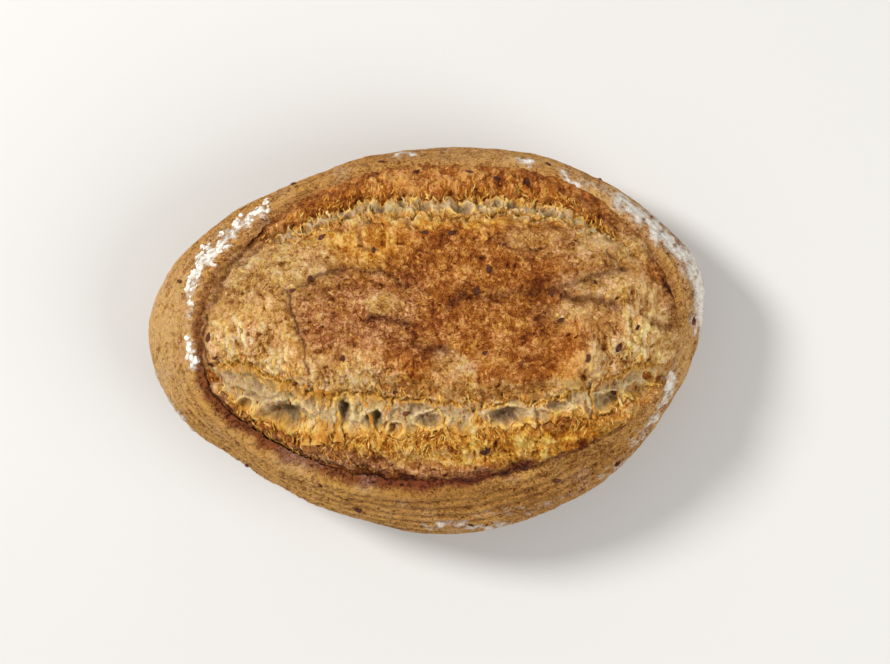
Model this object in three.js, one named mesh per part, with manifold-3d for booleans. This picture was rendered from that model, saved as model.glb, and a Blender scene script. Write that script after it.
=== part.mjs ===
// A seeded sourdough loaf, baked free on a stone: one solid piece of bread.
// Its floured skin has torn open along a ragged ring, the dough has bloomed up through it,
// and two long seams in the bloom show the pale crumb, with strands of it still drawn across.
// Flax seeds sit half sunk in the crust.
// Units are millimetres. X runs along the loaf, Y across it and Z up. The loaf stands on z = 0,
// and the origin is on its base, under the middle of its outline.
import * as THREE from "three";
import { mergeVertices } from "three/addons/utils/BufferGeometryUtils.js";
import Module from "manifold-3d";

const wasm = await Module();
wasm.setup();

// Driving dimensions

const DOME_HEIGHT = 85; // the crown before the bloom is added to it
const WIDEST_HEIGHT = 36; // the height of the widest line along the flanks
const TIP_DROP = 7; // how much lower that line runs at the two tips
const DOME_POWER = 2.15; // 2 is an ellipse, and more is fuller at the shoulders
const SIDE_POWER = 0.82; // under 1 tucks the side in late, close above the base
const FOOT_SHARE = 0.81; // the base's reach, as a share of the widest outline
const TIP_LIFT = 0.07; // how much less of the outline the base reaches at the tips
const HALF_LENGTH = 122; // of the ellipsoid that says which way is out of the loaf
const HALF_WIDTH = 84;

// Reach of the widest outline from the middle, every 15 degrees from +X towards +Y.
const OUTLINE = [
  121.5, 126, 115.5, 103.5, 95, 88.5, 85, 84, 86.5, 93.5, 105.5, 118,
  122, 114.5, 99.5, 90, 85, 83.5, 84.5, 87, 90.5, 96.5, 104, 112,
];
// Reach of the torn edge of the skin, at the same angles.
const SKIN_EDGE = [
  109.5, 108.5, 101.5, 95, 85.5, 79, 76.5, 76.5, 78.5, 82.5, 88, 94,
  96.5, 93, 80.5, 71, 65, 61.5, 60, 61, 64, 70.5, 82.5, 100,
];
// How strongly that edge stands up as a lip over a groove, and how strongly the bloom's own
// border stands over the skin instead, at the same angles.
const LIP = [
  0, 0.2, 0.05, 0, 0, 0, 0, 0, 0.05, 0.1, 0.12, 0.12,
  0.3, 0.7, 1, 1, 0.85, 0.6, 0.45, 0.25, 0.05, 0, 0, 0,
];
const LEAST_LIP = 0.12; // the tear can be felt all round
const BRIM = [
  0.3, 0, 0, 0, 0, 0, 0, 0, 0, 0, 0, 0,
  0, 0, 0, 0, 0, 0, 0, 0.35, 0.6, 0.85, 1, 0.9,
];
// Sizes of the lip and its groove where it is strongest.
const EDGE_CURL = 3.2;
const CURL_WIDTH = 7;
const CREST_PLACE = 4.5; // how far outside the tear the lip is highest
const WALL_WIDTH = 2.6; // how far the torn slope runs up from the tear to the lip
const GROOVE_DEPTH = 3.2;
const GROOVE_WIDTH = 4.5;
const OVERHANG = 0.4; // how far the edge leans in over the groove
const UNDERCUT = 0.6; // how far the groove runs out under the edge
const EDGE_THICKNESS = 1.8;
const EDGE_SHARE = 0.6; // the most of the groove's height that the edge's thickness takes
const UNDERSIDE_LEAN = 0.35; // how far the edge's underside stays behind its nose, as a share of the overhang
// Sizes of the brim where it is strongest.
const BRIM_STEP = 2.6;
const BRIM_WIDTH = 9;
const BRIM_SLOPE = 2; // how far inside the border it takes to rise

const BLOOM_RISE = 6.5; // how far the bloom stands above the skin's own dome
const BLOOM_REACH = 26; // how far inside the edge it takes to rise that much
const LUMP_START = 12; // how far inside the edge the bloom's lumps reach their full height
const SKIN_LUMP_START = 8; // how far outside it the skin's do

// Layers of noise, each with its height, its length along and across, and its slice of the noise.
const BLOOM_LUMPS = [
  { height: 1.5, along: 24, across: 24, shift: 4, slice: 0 },
  { height: 0.5, along: 9, across: 9, shift: 0, slice: 5 },
];
const SEAM_WOBBLE = [
  { height: 1.6, along: 5.5, across: 9, shift: 0, slice: 3 },
  { height: 0.8, along: 2.4, across: 5, shift: 0, slice: 8 },
];
const BRIM_CRAGS = [{ height: 0.4, along: 6, across: 6, shift: 0, slice: 2 }];
const SKIN_LUMPS = [{ height: 1.1, length: 26 }, { height: 0.35, length: 8 }];

// The seams of crumb: where each runs, its half width and its depth, all along X.
const LOWER_SEAM = {
  from: -92,
  to: 104,
  middle: [[-92, -15], [-73, -20], [-52, -29], [-18, -31], [20, -30.5], [53, -27], [80, -21], [104, -13]],
  halfWidth: [[-92, 3], [-73, 6.5], [-50, 9.5], [-20, 9], [15, 6.5], [55, 6], [85, 5.5], [104, 3]],
  depth: [[-92, 1.5], [-60, 6], [-30, 7.5], [10, 6.5], [50, 5.5], [85, 4], [104, 1]],
  gentleSide: 1, // the flank that climbs to the crown
};
const UPPER_SEAM = {
  from: -70,
  to: 84,
  middle: [[-70, 43], [-52, 49], [-27, 56.5], [7, 58.5], [41, 58.5], [62, 54], [84, 44]],
  halfWidth: [[-70, 2], [-45, 4.5], [0, 5.5], [45, 5.2], [70, 4], [84, 2]],
  depth: [[-70, 1], [-45, 3.4], [0, 4.2], [45, 4.2], [84, 1]],
  gentleSide: -1,
};
const GENTLE_SHARE = 1.7; // how much wider the gentle flank of a seam is
const BRIM_RISE = 1.6; // the crags that stand along the outer side of a seam
const CRAG_PLACE = 1.7; // where they stand, as a share of the seam's half width
const CRAG_WIDTH = 0.55;
const CRAG_SHARE = 0.6; // the share of their height that is the same all along
const SEAM_FADES = [4, 8]; // how far outside and inside its ends a seam opens
const PIT = { along: 8.5, across: 7, depth: 1.8, edge: 0.55 }; // the pockets in the crumb

// Folds and cracks in the crown, each with its depth, its half width, and how much higher the
// crust stands on the left of its path than on the right.
const FOLDS = [
  { path: [[-57, 22], [-55.5, 12], [-51, 1], [-47, -13]], depth: 2.2, width: 1.6, step: 1.6 },
  { path: [[-51, 24], [-37, 29], [-27, 30], [-15, 27], [-6, 23]], depth: 1.6, width: 1.7, step: 2.0 },
  { path: [[11, 16], [26, 19], [44, 20], [58, 22], [70, 27], [85, 33]], depth: 2.2, width: 2.8, step: 1.8 },
  { path: [[57, 19], [67, 17.5], [76, 15.5], [90, 9]], depth: 2.0, width: 2.4, step: 2.0 },
  { path: [[-22, 51], [-26, 46], [-25, 39], [-20, 36]], depth: 1.6, width: 1.2, step: 1.0 },
  { path: [[-12, -4], [-3, -2], [8, 0]], depth: 2.0, width: 2.4, step: -0.8 },
  { path: [[-88, 17], [-83, 32], [-78, 39], [-71, 47], [-58, 55]], depth: 1.9, width: 2.2, step: 0.6 },
  { path: [[-78, 32], [-74, 36], [-68, 42]], depth: 1.4, width: 1.5, step: 0.4 },
];
const FOLD_REACH = 9; // how far from a fold its step dies away
const FOLD_CREASE = 0.8; // how far from a fold its step is full

// Flax seeds. The first ones lie at known places on the crown, and the rest are scattered.
const SEED = { length: 4.4, width: 2.5, thickness: 1.6, sunk: 0.42 };
const CROWN_SEEDS = [
  [22, 21, 80], [44, 68, 80], [19, 71, 5], [31, 69, 10], [56, 9, 30], [53, 20, 80], [58, 20, 85],
  [25, -4, 25], [40, -8, 60], [67, -6, 70], [-33, -6, 75], [-53, -17, 40], [-56, -26, 70],
  [-73, -35, 20], [-16, -55, 10], [26, -45, 10], [43, -53, 20], [57, -59, 5], [-91, 2, 80],
  [-46, 26, 70], [-42, 43, 40], [12, 44, 20], [33, 39, 50], [-3, 73, 15], [88, 6, 50],
  [80, -2, 60],
];
// How many more lie in each zone, and between which shares of the way across it.
const SCATTERED_SEEDS = { bloom: [10, 0.35, 0.92], skin: [9, 0.25, 0.8], side: [10, 0.15, 0.6] };
const SEED_STRAY = 0.7; // how far each may lie past its even place round the loaf

// Strands of crumb still drawn across the seams: where each crosses, its lean and its thickness.
const LOWER_STRANDS = [
  [-51, 2, 2.2], [-43, -3, 2.6], [-22, 7, 1.8], [8, 6, 1.8], [21, -4, 2.4], [47, -4, 1.8],
];
const UPPER_STRANDS = [[-36, 4, 1.8], [-12, -4, 1.8], [30, -4, 1.8]];
const STRAND_REACH = 1.05; // to its roots from the seam's middle, as a share of the half width
const STRAND_SUNK = 1; // how deep the roots lie
const STRAND_SAG = 0.1; // as a share of the seam's half width
const STRAND_SWELL = 0.9; // how much thicker the roots are
const STRAND_STATIONS = [0, 0.12, 0.35, 0.65, 0.88, 1];
const STRAND_SIDES = 6;

// Mesh densities: segments round the outside, and rings in each zone.
const SEGMENTS = 96;
const RINGS = { bloom: 25, skin: 7, side: 5, base: 3 };
const HALVINGS = [0.5, 0.24, 0.11]; // shares of the bloom's reach inside which the segments halve
const RING_CROWDING = 0.92; // under 1 crowds the bloom's rings towards its border
const UNDERCUT_START = 12; // a power: the higher, the later the bloom's rings run out under the edge

// Numbers that repeat along a line or round the loaf

const { clamp, degToRad, lerp, smoothstep } = THREE.MathUtils;

function draw(index, channel) {
  const value = Math.sin(index * 127.1 + channel * 311.7 + 17.3) * 43758.5453;
  return value - Math.floor(value);
}

function cubic(a, b, c, d, t) {
  return b + 0.5 * t * (c - a + t * (2 * a - 5 * b + 4 * c - d + t * (3 * (b - c) + d - a)));
}

// A smooth closed run of values, evenly spaced round the loaf.
function around(values) {
  return (angle) => {
    const place = ((angle / (2 * Math.PI)) * values.length + values.length * 4) % values.length;
    const i = Math.floor(place);
    const at = (k) => values[(i + k + values.length) % values.length];
    return cubic(at(-1), at(0), at(1), at(2), place - i);
  };
}

// A smooth run of values through [x, value] pairs.
function along(pairs) {
  return (x) => {
    const last = pairs.length - 1;
    let i = 0;
    while (i < last - 1 && x > pairs[i + 1][0]) i++;
    const t = clamp((x - pairs[i][0]) / (pairs[i + 1][0] - pairs[i][0]), 0, 1);
    const at = (k) => pairs[clamp(i + k, 0, last)][1];
    return cubic(at(-1), at(0), at(1), at(2), t);
  };
}

// Smooth noise from -1 to 1, with one value at each point of a unit lattice.
function noise(x, y, z = 0) {
  const [i, j, k] = [Math.floor(x), Math.floor(y), Math.floor(z)];
  const [u, v, w] = [x - i, y - j, z - k].map((t) => t * t * (3 - 2 * t));
  const at = (a, b, c) => draw(i + a + (k + c) * 57, j + b + (k + c) * 113);
  const face = (c) => lerp(lerp(at(0, 0, c), at(1, 0, c), u), lerp(at(0, 1, c), at(1, 1, c), u), v);
  return 2 * lerp(face(0), face(1), w) - 1;
}

function layered(layers, x, y) {
  return layers.reduce((sum, layer) => {
    return sum + layer.height * noise(x / layer.along + layer.shift, y / layer.across, layer.slice);
  }, 0);
}

// 1 in the middle of a pit and 0 on the rim between it and its neighbours.
function pit(x, y) {
  const [i, j] = [Math.floor(x), Math.floor(y)];
  let [near, next] = [9, 9];
  for (let a = -1; a <= 1; a++)
    for (let b = -1; b <= 1; b++) {
      const gap = Math.hypot(i + a + draw(i + a, j + b) - x, j + b + draw(j + b, i + a + 31) - y);
      if (gap < near) [near, next] = [gap, near];
      else if (gap < next) next = gap;
    }
  return smoothstep(next - near, 0, PIT.edge);
}

// The distance to a path in plan, which side of it a place lies on, and how far along it.
function besidePath(path, x, y) {
  let found = { away: Infinity };
  for (let i = 0; i < path.length - 1; i++) {
    const [[ax, ay], [bx, by]] = [path[i], path[i + 1]];
    const [wayX, wayY] = [bx - ax, by - ay];
    const t = clamp(((x - ax) * wayX + (y - ay) * wayY) / (wayX ** 2 + wayY ** 2), 0, 1);
    const [offX, offY] = [x - ax - t * wayX, y - ay - t * wayY];
    const away = Math.hypot(offX, offY);
    if (away < found.away)
      found = { away, side: Math.sign(wayX * offY - wayY * offX), share: (i + t) / (path.length - 1) };
  }
  return found;
}

// The loaf's plain form: a flat base, a bulging side and a dome

const outline = around(OUTLINE);
const skinEdge = around(SKIN_EDGE);
const lipAt = around(LIP);
const brimAt = around(BRIM);
const lip = (angle) => clamp(lipAt(angle), LEAST_LIP, 1);
const brim = (angle) => clamp(brimAt(angle), 0, 1);
const widestAt = (angle) => WIDEST_HEIGHT - TIP_DROP * Math.cos(angle) ** 4;
const footAt = (angle) => FOOT_SHARE - TIP_LIFT * Math.cos(angle) ** 4;

function domePoint(angle, reach) {
  const share = clamp(reach / outline(angle), 0, 1);
  const widest = widestAt(angle);
  const height = widest + (DOME_HEIGHT - widest) * (1 - share ** DOME_POWER) ** (1 / DOME_POWER);
  return new THREE.Vector3(reach * Math.cos(angle), reach * Math.sin(angle), height);
}

// The way out of the plain form, taken from an ellipsoid of about its size.
function outward(point) {
  const rise = point.z - WIDEST_HEIGHT;
  const vertical = rise > 0 ? DOME_HEIGHT - WIDEST_HEIGHT : WIDEST_HEIGHT;
  const [x, y] = [point.x / HALF_LENGTH ** 2, point.y / HALF_WIDTH ** 2];
  return new THREE.Vector3(x, y, rise / vertical ** 2).normalize();
}

function raised(point, height) {
  return point.clone().addScaledVector(outward(point), height);
}

// The relief of the bloom and of the skin

function seamShape(seam) {
  const [middle, halfWidth, depth] = [along(seam.middle), along(seam.halfWidth), along(seam.depth)];
  // Across a seam: 0 in its middle, and 1 or -1 at its two sides.
  const across = (x, y) => {
    const off = y - middle(x) + layered(SEAM_WOBBLE, x, y);
    const gentle = off * seam.gentleSide > 0 ? GENTLE_SHARE : 1;
    return off / (halfWidth(x) * gentle);
  };
  const [before, after] = SEAM_FADES;
  const within = (x) => {
    const opened = smoothstep(x, seam.from - before, seam.from + after);
    return opened * (1 - smoothstep(x, seam.to - after, seam.to + before));
  };
  return { middle, halfWidth, depth, across, within, side: seam.gentleSide };
}
const seams = [LOWER_SEAM, UPPER_SEAM].map(seamShape);

function seamRelief(seam, x, y) {
  const u = seam.across(x, y);
  const valley = Math.exp(-(u ** 4));
  const outer = Math.exp(-(((u * seam.side + CRAG_PLACE) / CRAG_WIDTH) ** 2));
  const crags = BRIM_RISE * outer * (CRAG_SHARE + layered(BRIM_CRAGS, x, y));
  const pits = PIT.depth * pit(x / PIT.along, y / PIT.across) * Math.exp(-(u * u));
  return seam.within(x) * (crags - seam.depth(x) * valley - pits);
}

function foldRelief({ path, depth, width, step }, x, y) {
  const { away, side, share } = besidePath(path, x, y);
  const ends = Math.sqrt(4 * share * (1 - share));
  const crease = depth * Math.exp(-((away / width) ** 2));
  const stepped = (step / 2) * side * Math.exp(-((away / FOLD_REACH) ** 2));
  return ends * (stepped * smoothstep(away, 0, FOLD_CREASE) - crease);
}

function bloomRelief(x, y, inside, angle) {
  const rise = BLOOM_RISE * smoothstep(inside, 0, BLOOM_REACH);
  const groove = GROOVE_DEPTH * lip(angle) * Math.exp(-((inside / GROOVE_WIDTH) ** 2));
  const border = BRIM_STEP * brim(angle) * Math.exp(-((inside / BRIM_WIDTH) ** 2));
  const lumps = layered(BLOOM_LUMPS, x, y) * smoothstep(inside, 0, LUMP_START);
  let height = rise - groove + border * smoothstep(inside, 0, BRIM_SLOPE) + lumps;
  for (const seam of seams) height += seamRelief(seam, x, y);
  for (const fold of FOLDS) height += foldRelief(fold, x, y);
  return height;
}

function skinRelief(point, outside, angle) {
  const crest = Math.exp(-(((outside - CREST_PLACE) / CURL_WIDTH) ** 2));
  const curl = EDGE_CURL * lip(angle) * (crest - Math.exp(-((outside / WALL_WIDTH) ** 2)));
  const lumps = SKIN_LUMPS.reduce((sum, { height, length }) => {
    return sum + height * noise(point.x / length, point.y / length, point.z / length);
  }, 0);
  return curl + lumps * smoothstep(outside, 0, SKIN_LUMP_START);
}

// Points of each zone, by the angle round the loaf and a share of the way across the zone

function bloomPoint(angle, share) {
  const edge = skinEdge(angle);
  const reach = share * edge + UNDERCUT * lip(angle) * share ** UNDERCUT_START;
  const point = domePoint(angle, reach);
  return raised(point, bloomRelief(point.x, point.y, Math.max(edge - reach, 0), angle));
}

function skinPoint(angle, share) {
  const [edge, outer] = [skinEdge(angle), outline(angle)];
  const start = (edge - OVERHANG * lip(angle)) / outer;
  const reach = outer * (start + (1 - start) * Math.sin((share * Math.PI) / 2));
  const point = domePoint(angle, reach);
  return raised(point, skinRelief(point, Math.max(reach - edge, 0), angle));
}

function sidePoint(angle, share) {
  const [foot, outer] = [footAt(angle), outline(angle)];
  const turn = (share * Math.PI) / 2;
  const reach = outer * (foot + (1 - foot) * Math.cos(turn) ** SIDE_POWER);
  const height = widestAt(angle) * (1 - Math.sin(turn) ** (1 / SIDE_POWER));
  const point = new THREE.Vector3(reach * Math.cos(angle), reach * Math.sin(angle), height);
  const relief = skinRelief(point, outer - skinEdge(angle), angle) * (1 - smoothstep(share, 0.6, 0.95));
  const moved = raised(point, relief);
  moved.z = Math.max(moved.z, 0);
  return moved;
}

// The underside of the torn edge, between its foot in the groove and its nose.
function edgePoint(angle) {
  const [foot, top] = [bloomPoint(angle, 1), skinPoint(angle, 0)];
  const outwards = new THREE.Vector3(Math.cos(angle), Math.sin(angle), 0);
  const under = top.clone().addScaledVector(outwards, UNDERSIDE_LEAN * OVERHANG * lip(angle));
  under.z -= Math.min(EDGE_THICKNESS, EDGE_SHARE * (top.z - foot.z));
  return under;
}

// The loaf's mesh: rings from the middle of the crown to the middle of the base

function loafRings() {
  const rings = [];
  const ring = (count, pointAt) => {
    rings.push(Array.from({ length: count }, (_, k) => pointAt((2 * Math.PI * k) / count)));
  };
  for (let i = 1; i <= RINGS.bloom; i++) {
    const share = (i / RINGS.bloom) ** RING_CROWDING;
    const halvings = HALVINGS.filter((limit) => share < limit).length;
    ring(SEGMENTS / 2 ** halvings, (angle) => bloomPoint(angle, share));
  }
  ring(SEGMENTS, edgePoint);
  for (let i = 0; i <= RINGS.skin; i++) ring(SEGMENTS, (angle) => skinPoint(angle, i / RINGS.skin));
  for (let i = 1; i <= RINGS.side; i++) ring(SEGMENTS, (angle) => sidePoint(angle, i / RINGS.side));
  for (let i = 1; i < RINGS.base; i++) {
    const share = 1 - i / RINGS.base;
    ring(SEGMENTS / 2 ** i, (angle) => sidePoint(angle, 1).multiplyScalar(share));
  }
  return rings;
}

// Joins two rings, where the inner or the outer may have half as many points as the other.
function bridge(faces, first, firstCount, second, secondCount) {
  const most = Math.max(firstCount, secondCount);
  for (let k = 0; k < most; k++) {
    const [a, b] = [k, k + 1].map((n) => first + (Math.floor((n * firstCount) / most) % firstCount));
    const [c, d] = [k, k + 1].map((n) => second + (Math.floor((n * secondCount) / most) % secondCount));
    if (c !== d) faces.push(a, c, d);
    if (a !== b) faces.push(a, d, b);
  }
}

function loafGeometry() {
  const rings = loafRings();
  const crown = bloomPoint(0, 0);
  const points = [crown, ...rings.flat(), new THREE.Vector3(0, 0, 0)];
  const faces = [];
  let start = 1;
  rings[0].forEach((_, k) => faces.push(0, start + k, start + ((k + 1) % rings[0].length)));
  for (let i = 0; i < rings.length - 1; i++) {
    bridge(faces, start, rings[i].length, start + rings[i].length, rings[i + 1].length);
    start += rings[i].length;
  }
  const last = rings.at(-1).length;
  for (let k = 0; k < last; k++) faces.push(points.length - 1, start + ((k + 1) % last), start + k);
  const geometry = new THREE.BufferGeometry().setFromPoints(points);
  geometry.setIndex(faces);
  return geometry;
}

// Seeds and strands

const plainLoaf = new THREE.Mesh(loafGeometry());
const CLEAR = 20; // how far off the surface a search for it starts

// Where the faceted loaf's surface lies next to a zone's point, and which way it faces there.
function seat(pointAt, angle, share) {
  const point = pointAt(angle, share);
  const out = outward(point);
  const search = new THREE.Raycaster(point.clone().addScaledVector(out, CLEAR), out.clone().negate());
  const [hit] = search.intersectObject(plainLoaf);
  return { point: hit.point, normal: hit.face.normal };
}

function seedGeometry(place, turn) {
  const { point, normal } = place;
  const seed = new THREE.OctahedronGeometry(0.5, 1).scale(SEED.length, SEED.width, SEED.thickness);
  seed.rotateZ(degToRad(turn));
  seed.applyQuaternion(new THREE.Quaternion().setFromUnitVectors(new THREE.Vector3(0, 0, 1), normal));
  const rise = (0.5 - SEED.sunk) * SEED.thickness;
  return seed.translate(...point.clone().addScaledVector(normal, rise).toArray());
}

function crownSeeds() {
  return CROWN_SEEDS.map(([x, y, turn]) => {
    const angle = Math.atan2(y, x);
    return seedGeometry(seat(bloomPoint, angle, Math.hypot(x, y) / skinEdge(angle)), turn);
  });
}

function scatteredSeeds() {
  const zones = { bloom: bloomPoint, skin: skinPoint, side: sidePoint };
  return Object.entries(SCATTERED_SEEDS).flatMap(([zone, [count, low, high]], z) => {
    return Array.from({ length: count }, (_, k) => {
      const angle = 2 * Math.PI * ((k + SEED_STRAY * draw(k, 5 + z)) / count);
      const place = seat(zones[zone], angle, lerp(low, high, draw(k, 9 + z)));
      return seedGeometry(place, 180 * draw(k, 13 + z));
    });
  });
}

// A strand hangs from one side of a seam to the other, thin in the middle and wide at its two roots.
function strandGeometry(seam, [x, lean, thickness]) {
  const half = seam.halfWidth(x);
  const roots = [-1, 1].map((end) => {
    const reach = end === seam.side ? STRAND_REACH * GENTLE_SHARE : STRAND_REACH;
    const [px, py] = [x + (end * lean) / 2, seam.middle(x) + end * reach * half];
    const angle = Math.atan2(py, px);
    const root = bloomPoint(angle, Math.hypot(px, py) / skinEdge(angle));
    root.z -= STRAND_SUNK;
    return root;
  });
  const waist = STRAND_STATIONS.map((t) => {
    const swell = 1 + STRAND_SWELL * (2 * t - 1) ** 4;
    return new THREE.Vector2(t === 0 || t === 1 ? 0 : (swell * thickness) / 2, t);
  });
  const geometry = new THREE.LatheGeometry(waist, STRAND_SIDES);
  const alongs = roots[1].clone().sub(roots[0]);
  const sideways = new THREE.Vector3(alongs.y, -alongs.x, 0).normalize();
  const spots = geometry.getAttribute("position");
  for (let i = 0; i < spots.count; i++) {
    const t = spots.getY(i);
    const spot = roots[0].clone().addScaledVector(alongs, t).addScaledVector(sideways, spots.getX(i));
    spot.z += spots.getZ(i) - STRAND_SAG * half * 4 * t * (1 - t);
    spots.setXYZ(i, ...spot.toArray());
  }
  return geometry;
}

function strands() {
  const [lower, upper] = seams;
  return [
    ...LOWER_STRANDS.map((strand) => strandGeometry(lower, strand)),
    ...UPPER_STRANDS.map((strand) => strandGeometry(upper, strand)),
  ];
}

// Solids

function solid(geometry) {
  const bare = geometry.clone();
  bare.deleteAttribute("normal");
  bare.deleteAttribute("uv");
  const merged = mergeVertices(bare, 1e-4);
  return new wasm.Manifold(
    new wasm.Mesh({
      numProp: 3,
      vertProperties: merged.attributes.position.array,
      triVerts: new Uint32Array(merged.index.array),
    }),
  );
}

function geometryOf(manifold) {
  const mesh = manifold.getMesh();
  const geometry = new THREE.BufferGeometry();
  geometry.setAttribute("position", new THREE.BufferAttribute(mesh.vertProperties, 3));
  geometry.setIndex(new THREE.BufferAttribute(mesh.triVerts, 1));
  geometry.computeVertexNormals();
  return geometry;
}

function bakedLoaf() {
  let loaf = solid(plainLoaf.geometry);
  for (const piece of [...crownSeeds(), ...scatteredSeeds(), ...strands()]) loaf = loaf.add(solid(piece));
  return geometryOf(loaf);
}

const crust = new THREE.MeshStandardMaterial({ color: 0xb8793f, roughness: 0.85, metalness: 0 });
const loaf = new THREE.Mesh(bakedLoaf(), crust);
loaf.name = "loaf";

const bread = new THREE.Group();
bread.add(loaf);

export default bread;
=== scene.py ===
import bpy
import numpy as np
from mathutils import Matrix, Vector


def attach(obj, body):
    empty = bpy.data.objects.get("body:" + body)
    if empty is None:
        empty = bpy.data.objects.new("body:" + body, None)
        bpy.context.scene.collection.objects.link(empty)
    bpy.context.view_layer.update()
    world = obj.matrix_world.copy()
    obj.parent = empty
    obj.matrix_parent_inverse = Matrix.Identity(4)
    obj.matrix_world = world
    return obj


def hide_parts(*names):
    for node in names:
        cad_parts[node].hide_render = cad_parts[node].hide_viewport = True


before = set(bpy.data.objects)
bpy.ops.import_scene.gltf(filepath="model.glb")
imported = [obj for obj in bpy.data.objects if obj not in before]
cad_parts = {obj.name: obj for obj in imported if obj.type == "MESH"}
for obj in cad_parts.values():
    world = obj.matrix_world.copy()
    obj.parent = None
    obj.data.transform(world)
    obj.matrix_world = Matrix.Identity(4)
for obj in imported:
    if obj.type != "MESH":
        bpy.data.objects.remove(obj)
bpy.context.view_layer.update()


# The bloom
# The dough that rose through the torn skin in the oven: a browned, blistered crown with two long
# seams, where it tore open down to the crumb. It is one closed piece, wound in rings of points
# from the middle of the crown outwards, and its underside is hidden in the loaf.

MILLIMETRE = 0.001
# The plain form under everything: a dome over the widest line, which dips at the loaf's tips.
DOME_HEIGHT = 85
WIDEST_HEIGHT = 36
TIP_DROP = 7
DOME_POWER = 2.15
HALF_LENGTH = 122
HALF_WIDTH = 84
# Reach of the widest outline, reach of the torn edge of the skin, and how strongly that edge
# stands up as a lip: every 15 degrees from +X towards +Y.
OUTLINE = [
    121.5, 126, 115.5, 103.5, 95, 88.5, 85, 84, 86.5, 93.5, 105.5, 118,
    122, 114.5, 99.5, 90, 85, 83.5, 84.5, 87, 90.5, 96.5, 104, 112,
]
SKIN_EDGE = [
    109.5, 108.5, 101.5, 95, 85.5, 79, 76.5, 76.5, 78.5, 82.5, 88, 94,
    96.5, 93, 80.5, 71, 65, 61.5, 60, 61, 64, 70.5, 82.5, 100,
]
LIP = [
    0.0, 0.2, 0.05, 0.0, 0.0, 0.0, 0.0, 0.0, 0.05, 0.1, 0.12, 0.12,
    0.3, 0.7, 1.0, 1.0, 0.85, 0.6, 0.45, 0.25, 0.05, 0.0, 0.0, 0.0,
]
# How far the bloom's own border stands over the skin instead, and how dark the torn edge is painted: partly
# burnt crust and partly painted shade in the groove along it.
BRIM = [
    0.3, 0.0, 0.0, 0.0, 0.0, 0.0, 0.0, 0.0, 0.0, 0.0, 0.0, 0.0,
    0.0, 0.0, 0.0, 0.0, 0.0, 0.0, 0.0, 0.35, 0.6, 0.85, 1.0, 0.9,
]
CHAR_AND_SHADE = [
    0.1, 0.4, 0.1, 0.0, 0.0, 0.0, 0.0, 0.0, 0.2, 0.3, 0.3, 0.5,
    0.8, 0.9, 0.9, 0.85, 0.85, 0.95, 1.0, 1.0, 0.9, 0.85, 0.8, 0.4,
]
GROOVE_DEPTH = 3.2
GROOVE_WIDTH = 4.5
UNDERCUT = 0.6  # how far the groove runs on under the skin's lip
BRIM_STEP = 2.6  # how high the bloom's border stands over the skin
BRIM_WIDTH = 9
BLOOM_RISE = 6.5
BLOOM_REACH = 26  # how far inside the tear the bloom has risen fully
LUMP_HEIGHT = 1.5
LUMP_LENGTH = 24
GENTLE_SHARE = 1.7  # a seam's gentle side is this many times as wide as its steep side
RIM_RISE = 1.6  # how high the crags stand on a seam's steep side
# Folds in the crown: their path in plan, their depth and width, and how much higher the crust
# stands on the left of the path than on its right.
FOLDS = [
    ([[-57, 22], [-55.5, 12], [-51, 1], [-47, -13]], 2.2, 1.6, 1.6),
    ([[-51, 24], [-37, 29], [-27, 30], [-15, 27], [-6, 23]], 1.6, 1.7, 2.0),
    ([[11, 16], [26, 19], [44, 20], [58, 22], [70, 27], [85, 33]], 2.2, 2.8, 1.8),
    ([[57, 19], [67, 17.5], [76, 15.5], [90, 9]], 2.0, 2.4, 2.0),
    ([[-22, 51], [-26, 46], [-25, 39], [-20, 36]], 1.6, 1.2, 1.0),
    ([[-12, -4], [-3, -2], [8, 0]], 2.0, 2.4, -0.8),
    ([[-88, 17], [-83, 32], [-78, 39], [-71, 47], [-58, 55]], 1.9, 2.2, 0.6),
    ([[-78, 32], [-74, 36], [-68, 42]], 1.4, 1.5, 0.4),
]


def smoothstep(value, low, high):
    share = np.clip((value - low) / (high - low), 0, 1)
    return share * share * (3 - 2 * share)


def draw(index, channel):
    """A repeatable random number from 0 to 1."""
    value = np.sin(index * 127.1 + channel * 311.7 + 17.3) * 43758.5453
    return value - np.floor(value)


def noise(x, y, z=0.0):
    """Smooth noise from -1 to 1, with one value at each point of a unit lattice."""
    x, y, z = np.broadcast_arrays(x, y, z)
    i, j, k = np.floor(x), np.floor(y), np.floor(z)
    u, v, w = (t * t * (3 - 2 * t) for t in (x - i, y - j, z - k))

    def face(c):
        def row(b):
            left, right = (draw(i + a + (k + c) * 57, j + b + (k + c) * 113) for a in (0, 1))
            return left + (right - left) * u

        near, far = row(0), row(1)
        return near + (far - near) * v

    low, high = face(0), face(1)
    return 2 * (low + (high - low) * w) - 1


def cloud(x, y, z=0.0, octaves=3):
    """Noise with finer noise on it, each finer one turned so that no lattice shows."""
    total, weight, strength = 0.0, 0.0, 1.0
    for octave in range(octaves):
        total = total + strength * noise(x, y, z + 7.3 * octave)
        weight += strength
        strength *= 0.55
        x, y, z = 1.52 * x - 1.24 * y + 3.1, 1.24 * x + 1.52 * y - 5.7, 1.9 * z
    return total / weight


def ridges(x, y, z=0.0, octaves=3):
    """Noise with sharp crests and round valleys, from about -1 to 1."""
    return 1 - 3.6 * np.abs(cloud(x, y, z, octaves))


def cells(x, y):
    """Round cells: the distance to the nearest middle, the gap to the next, and a number for each."""
    i, j = np.floor(x), np.floor(y)
    near = np.full(x.shape, 9.0)
    after = near.copy()
    number = np.zeros(x.shape)
    for a in (-1, 0, 1):
        for b in (-1, 0, 1):
            gap = np.hypot(i + a + draw(i + a, j + b) - x, j + b + draw(j + b, i + a + 31) - y)
            number = np.where(gap < near, draw(i + a + 7, j + b + 3), number)
            after = np.where(gap < near, near, np.minimum(after, gap))
            near = np.minimum(near, gap)
    return near, after - near, number


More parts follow.
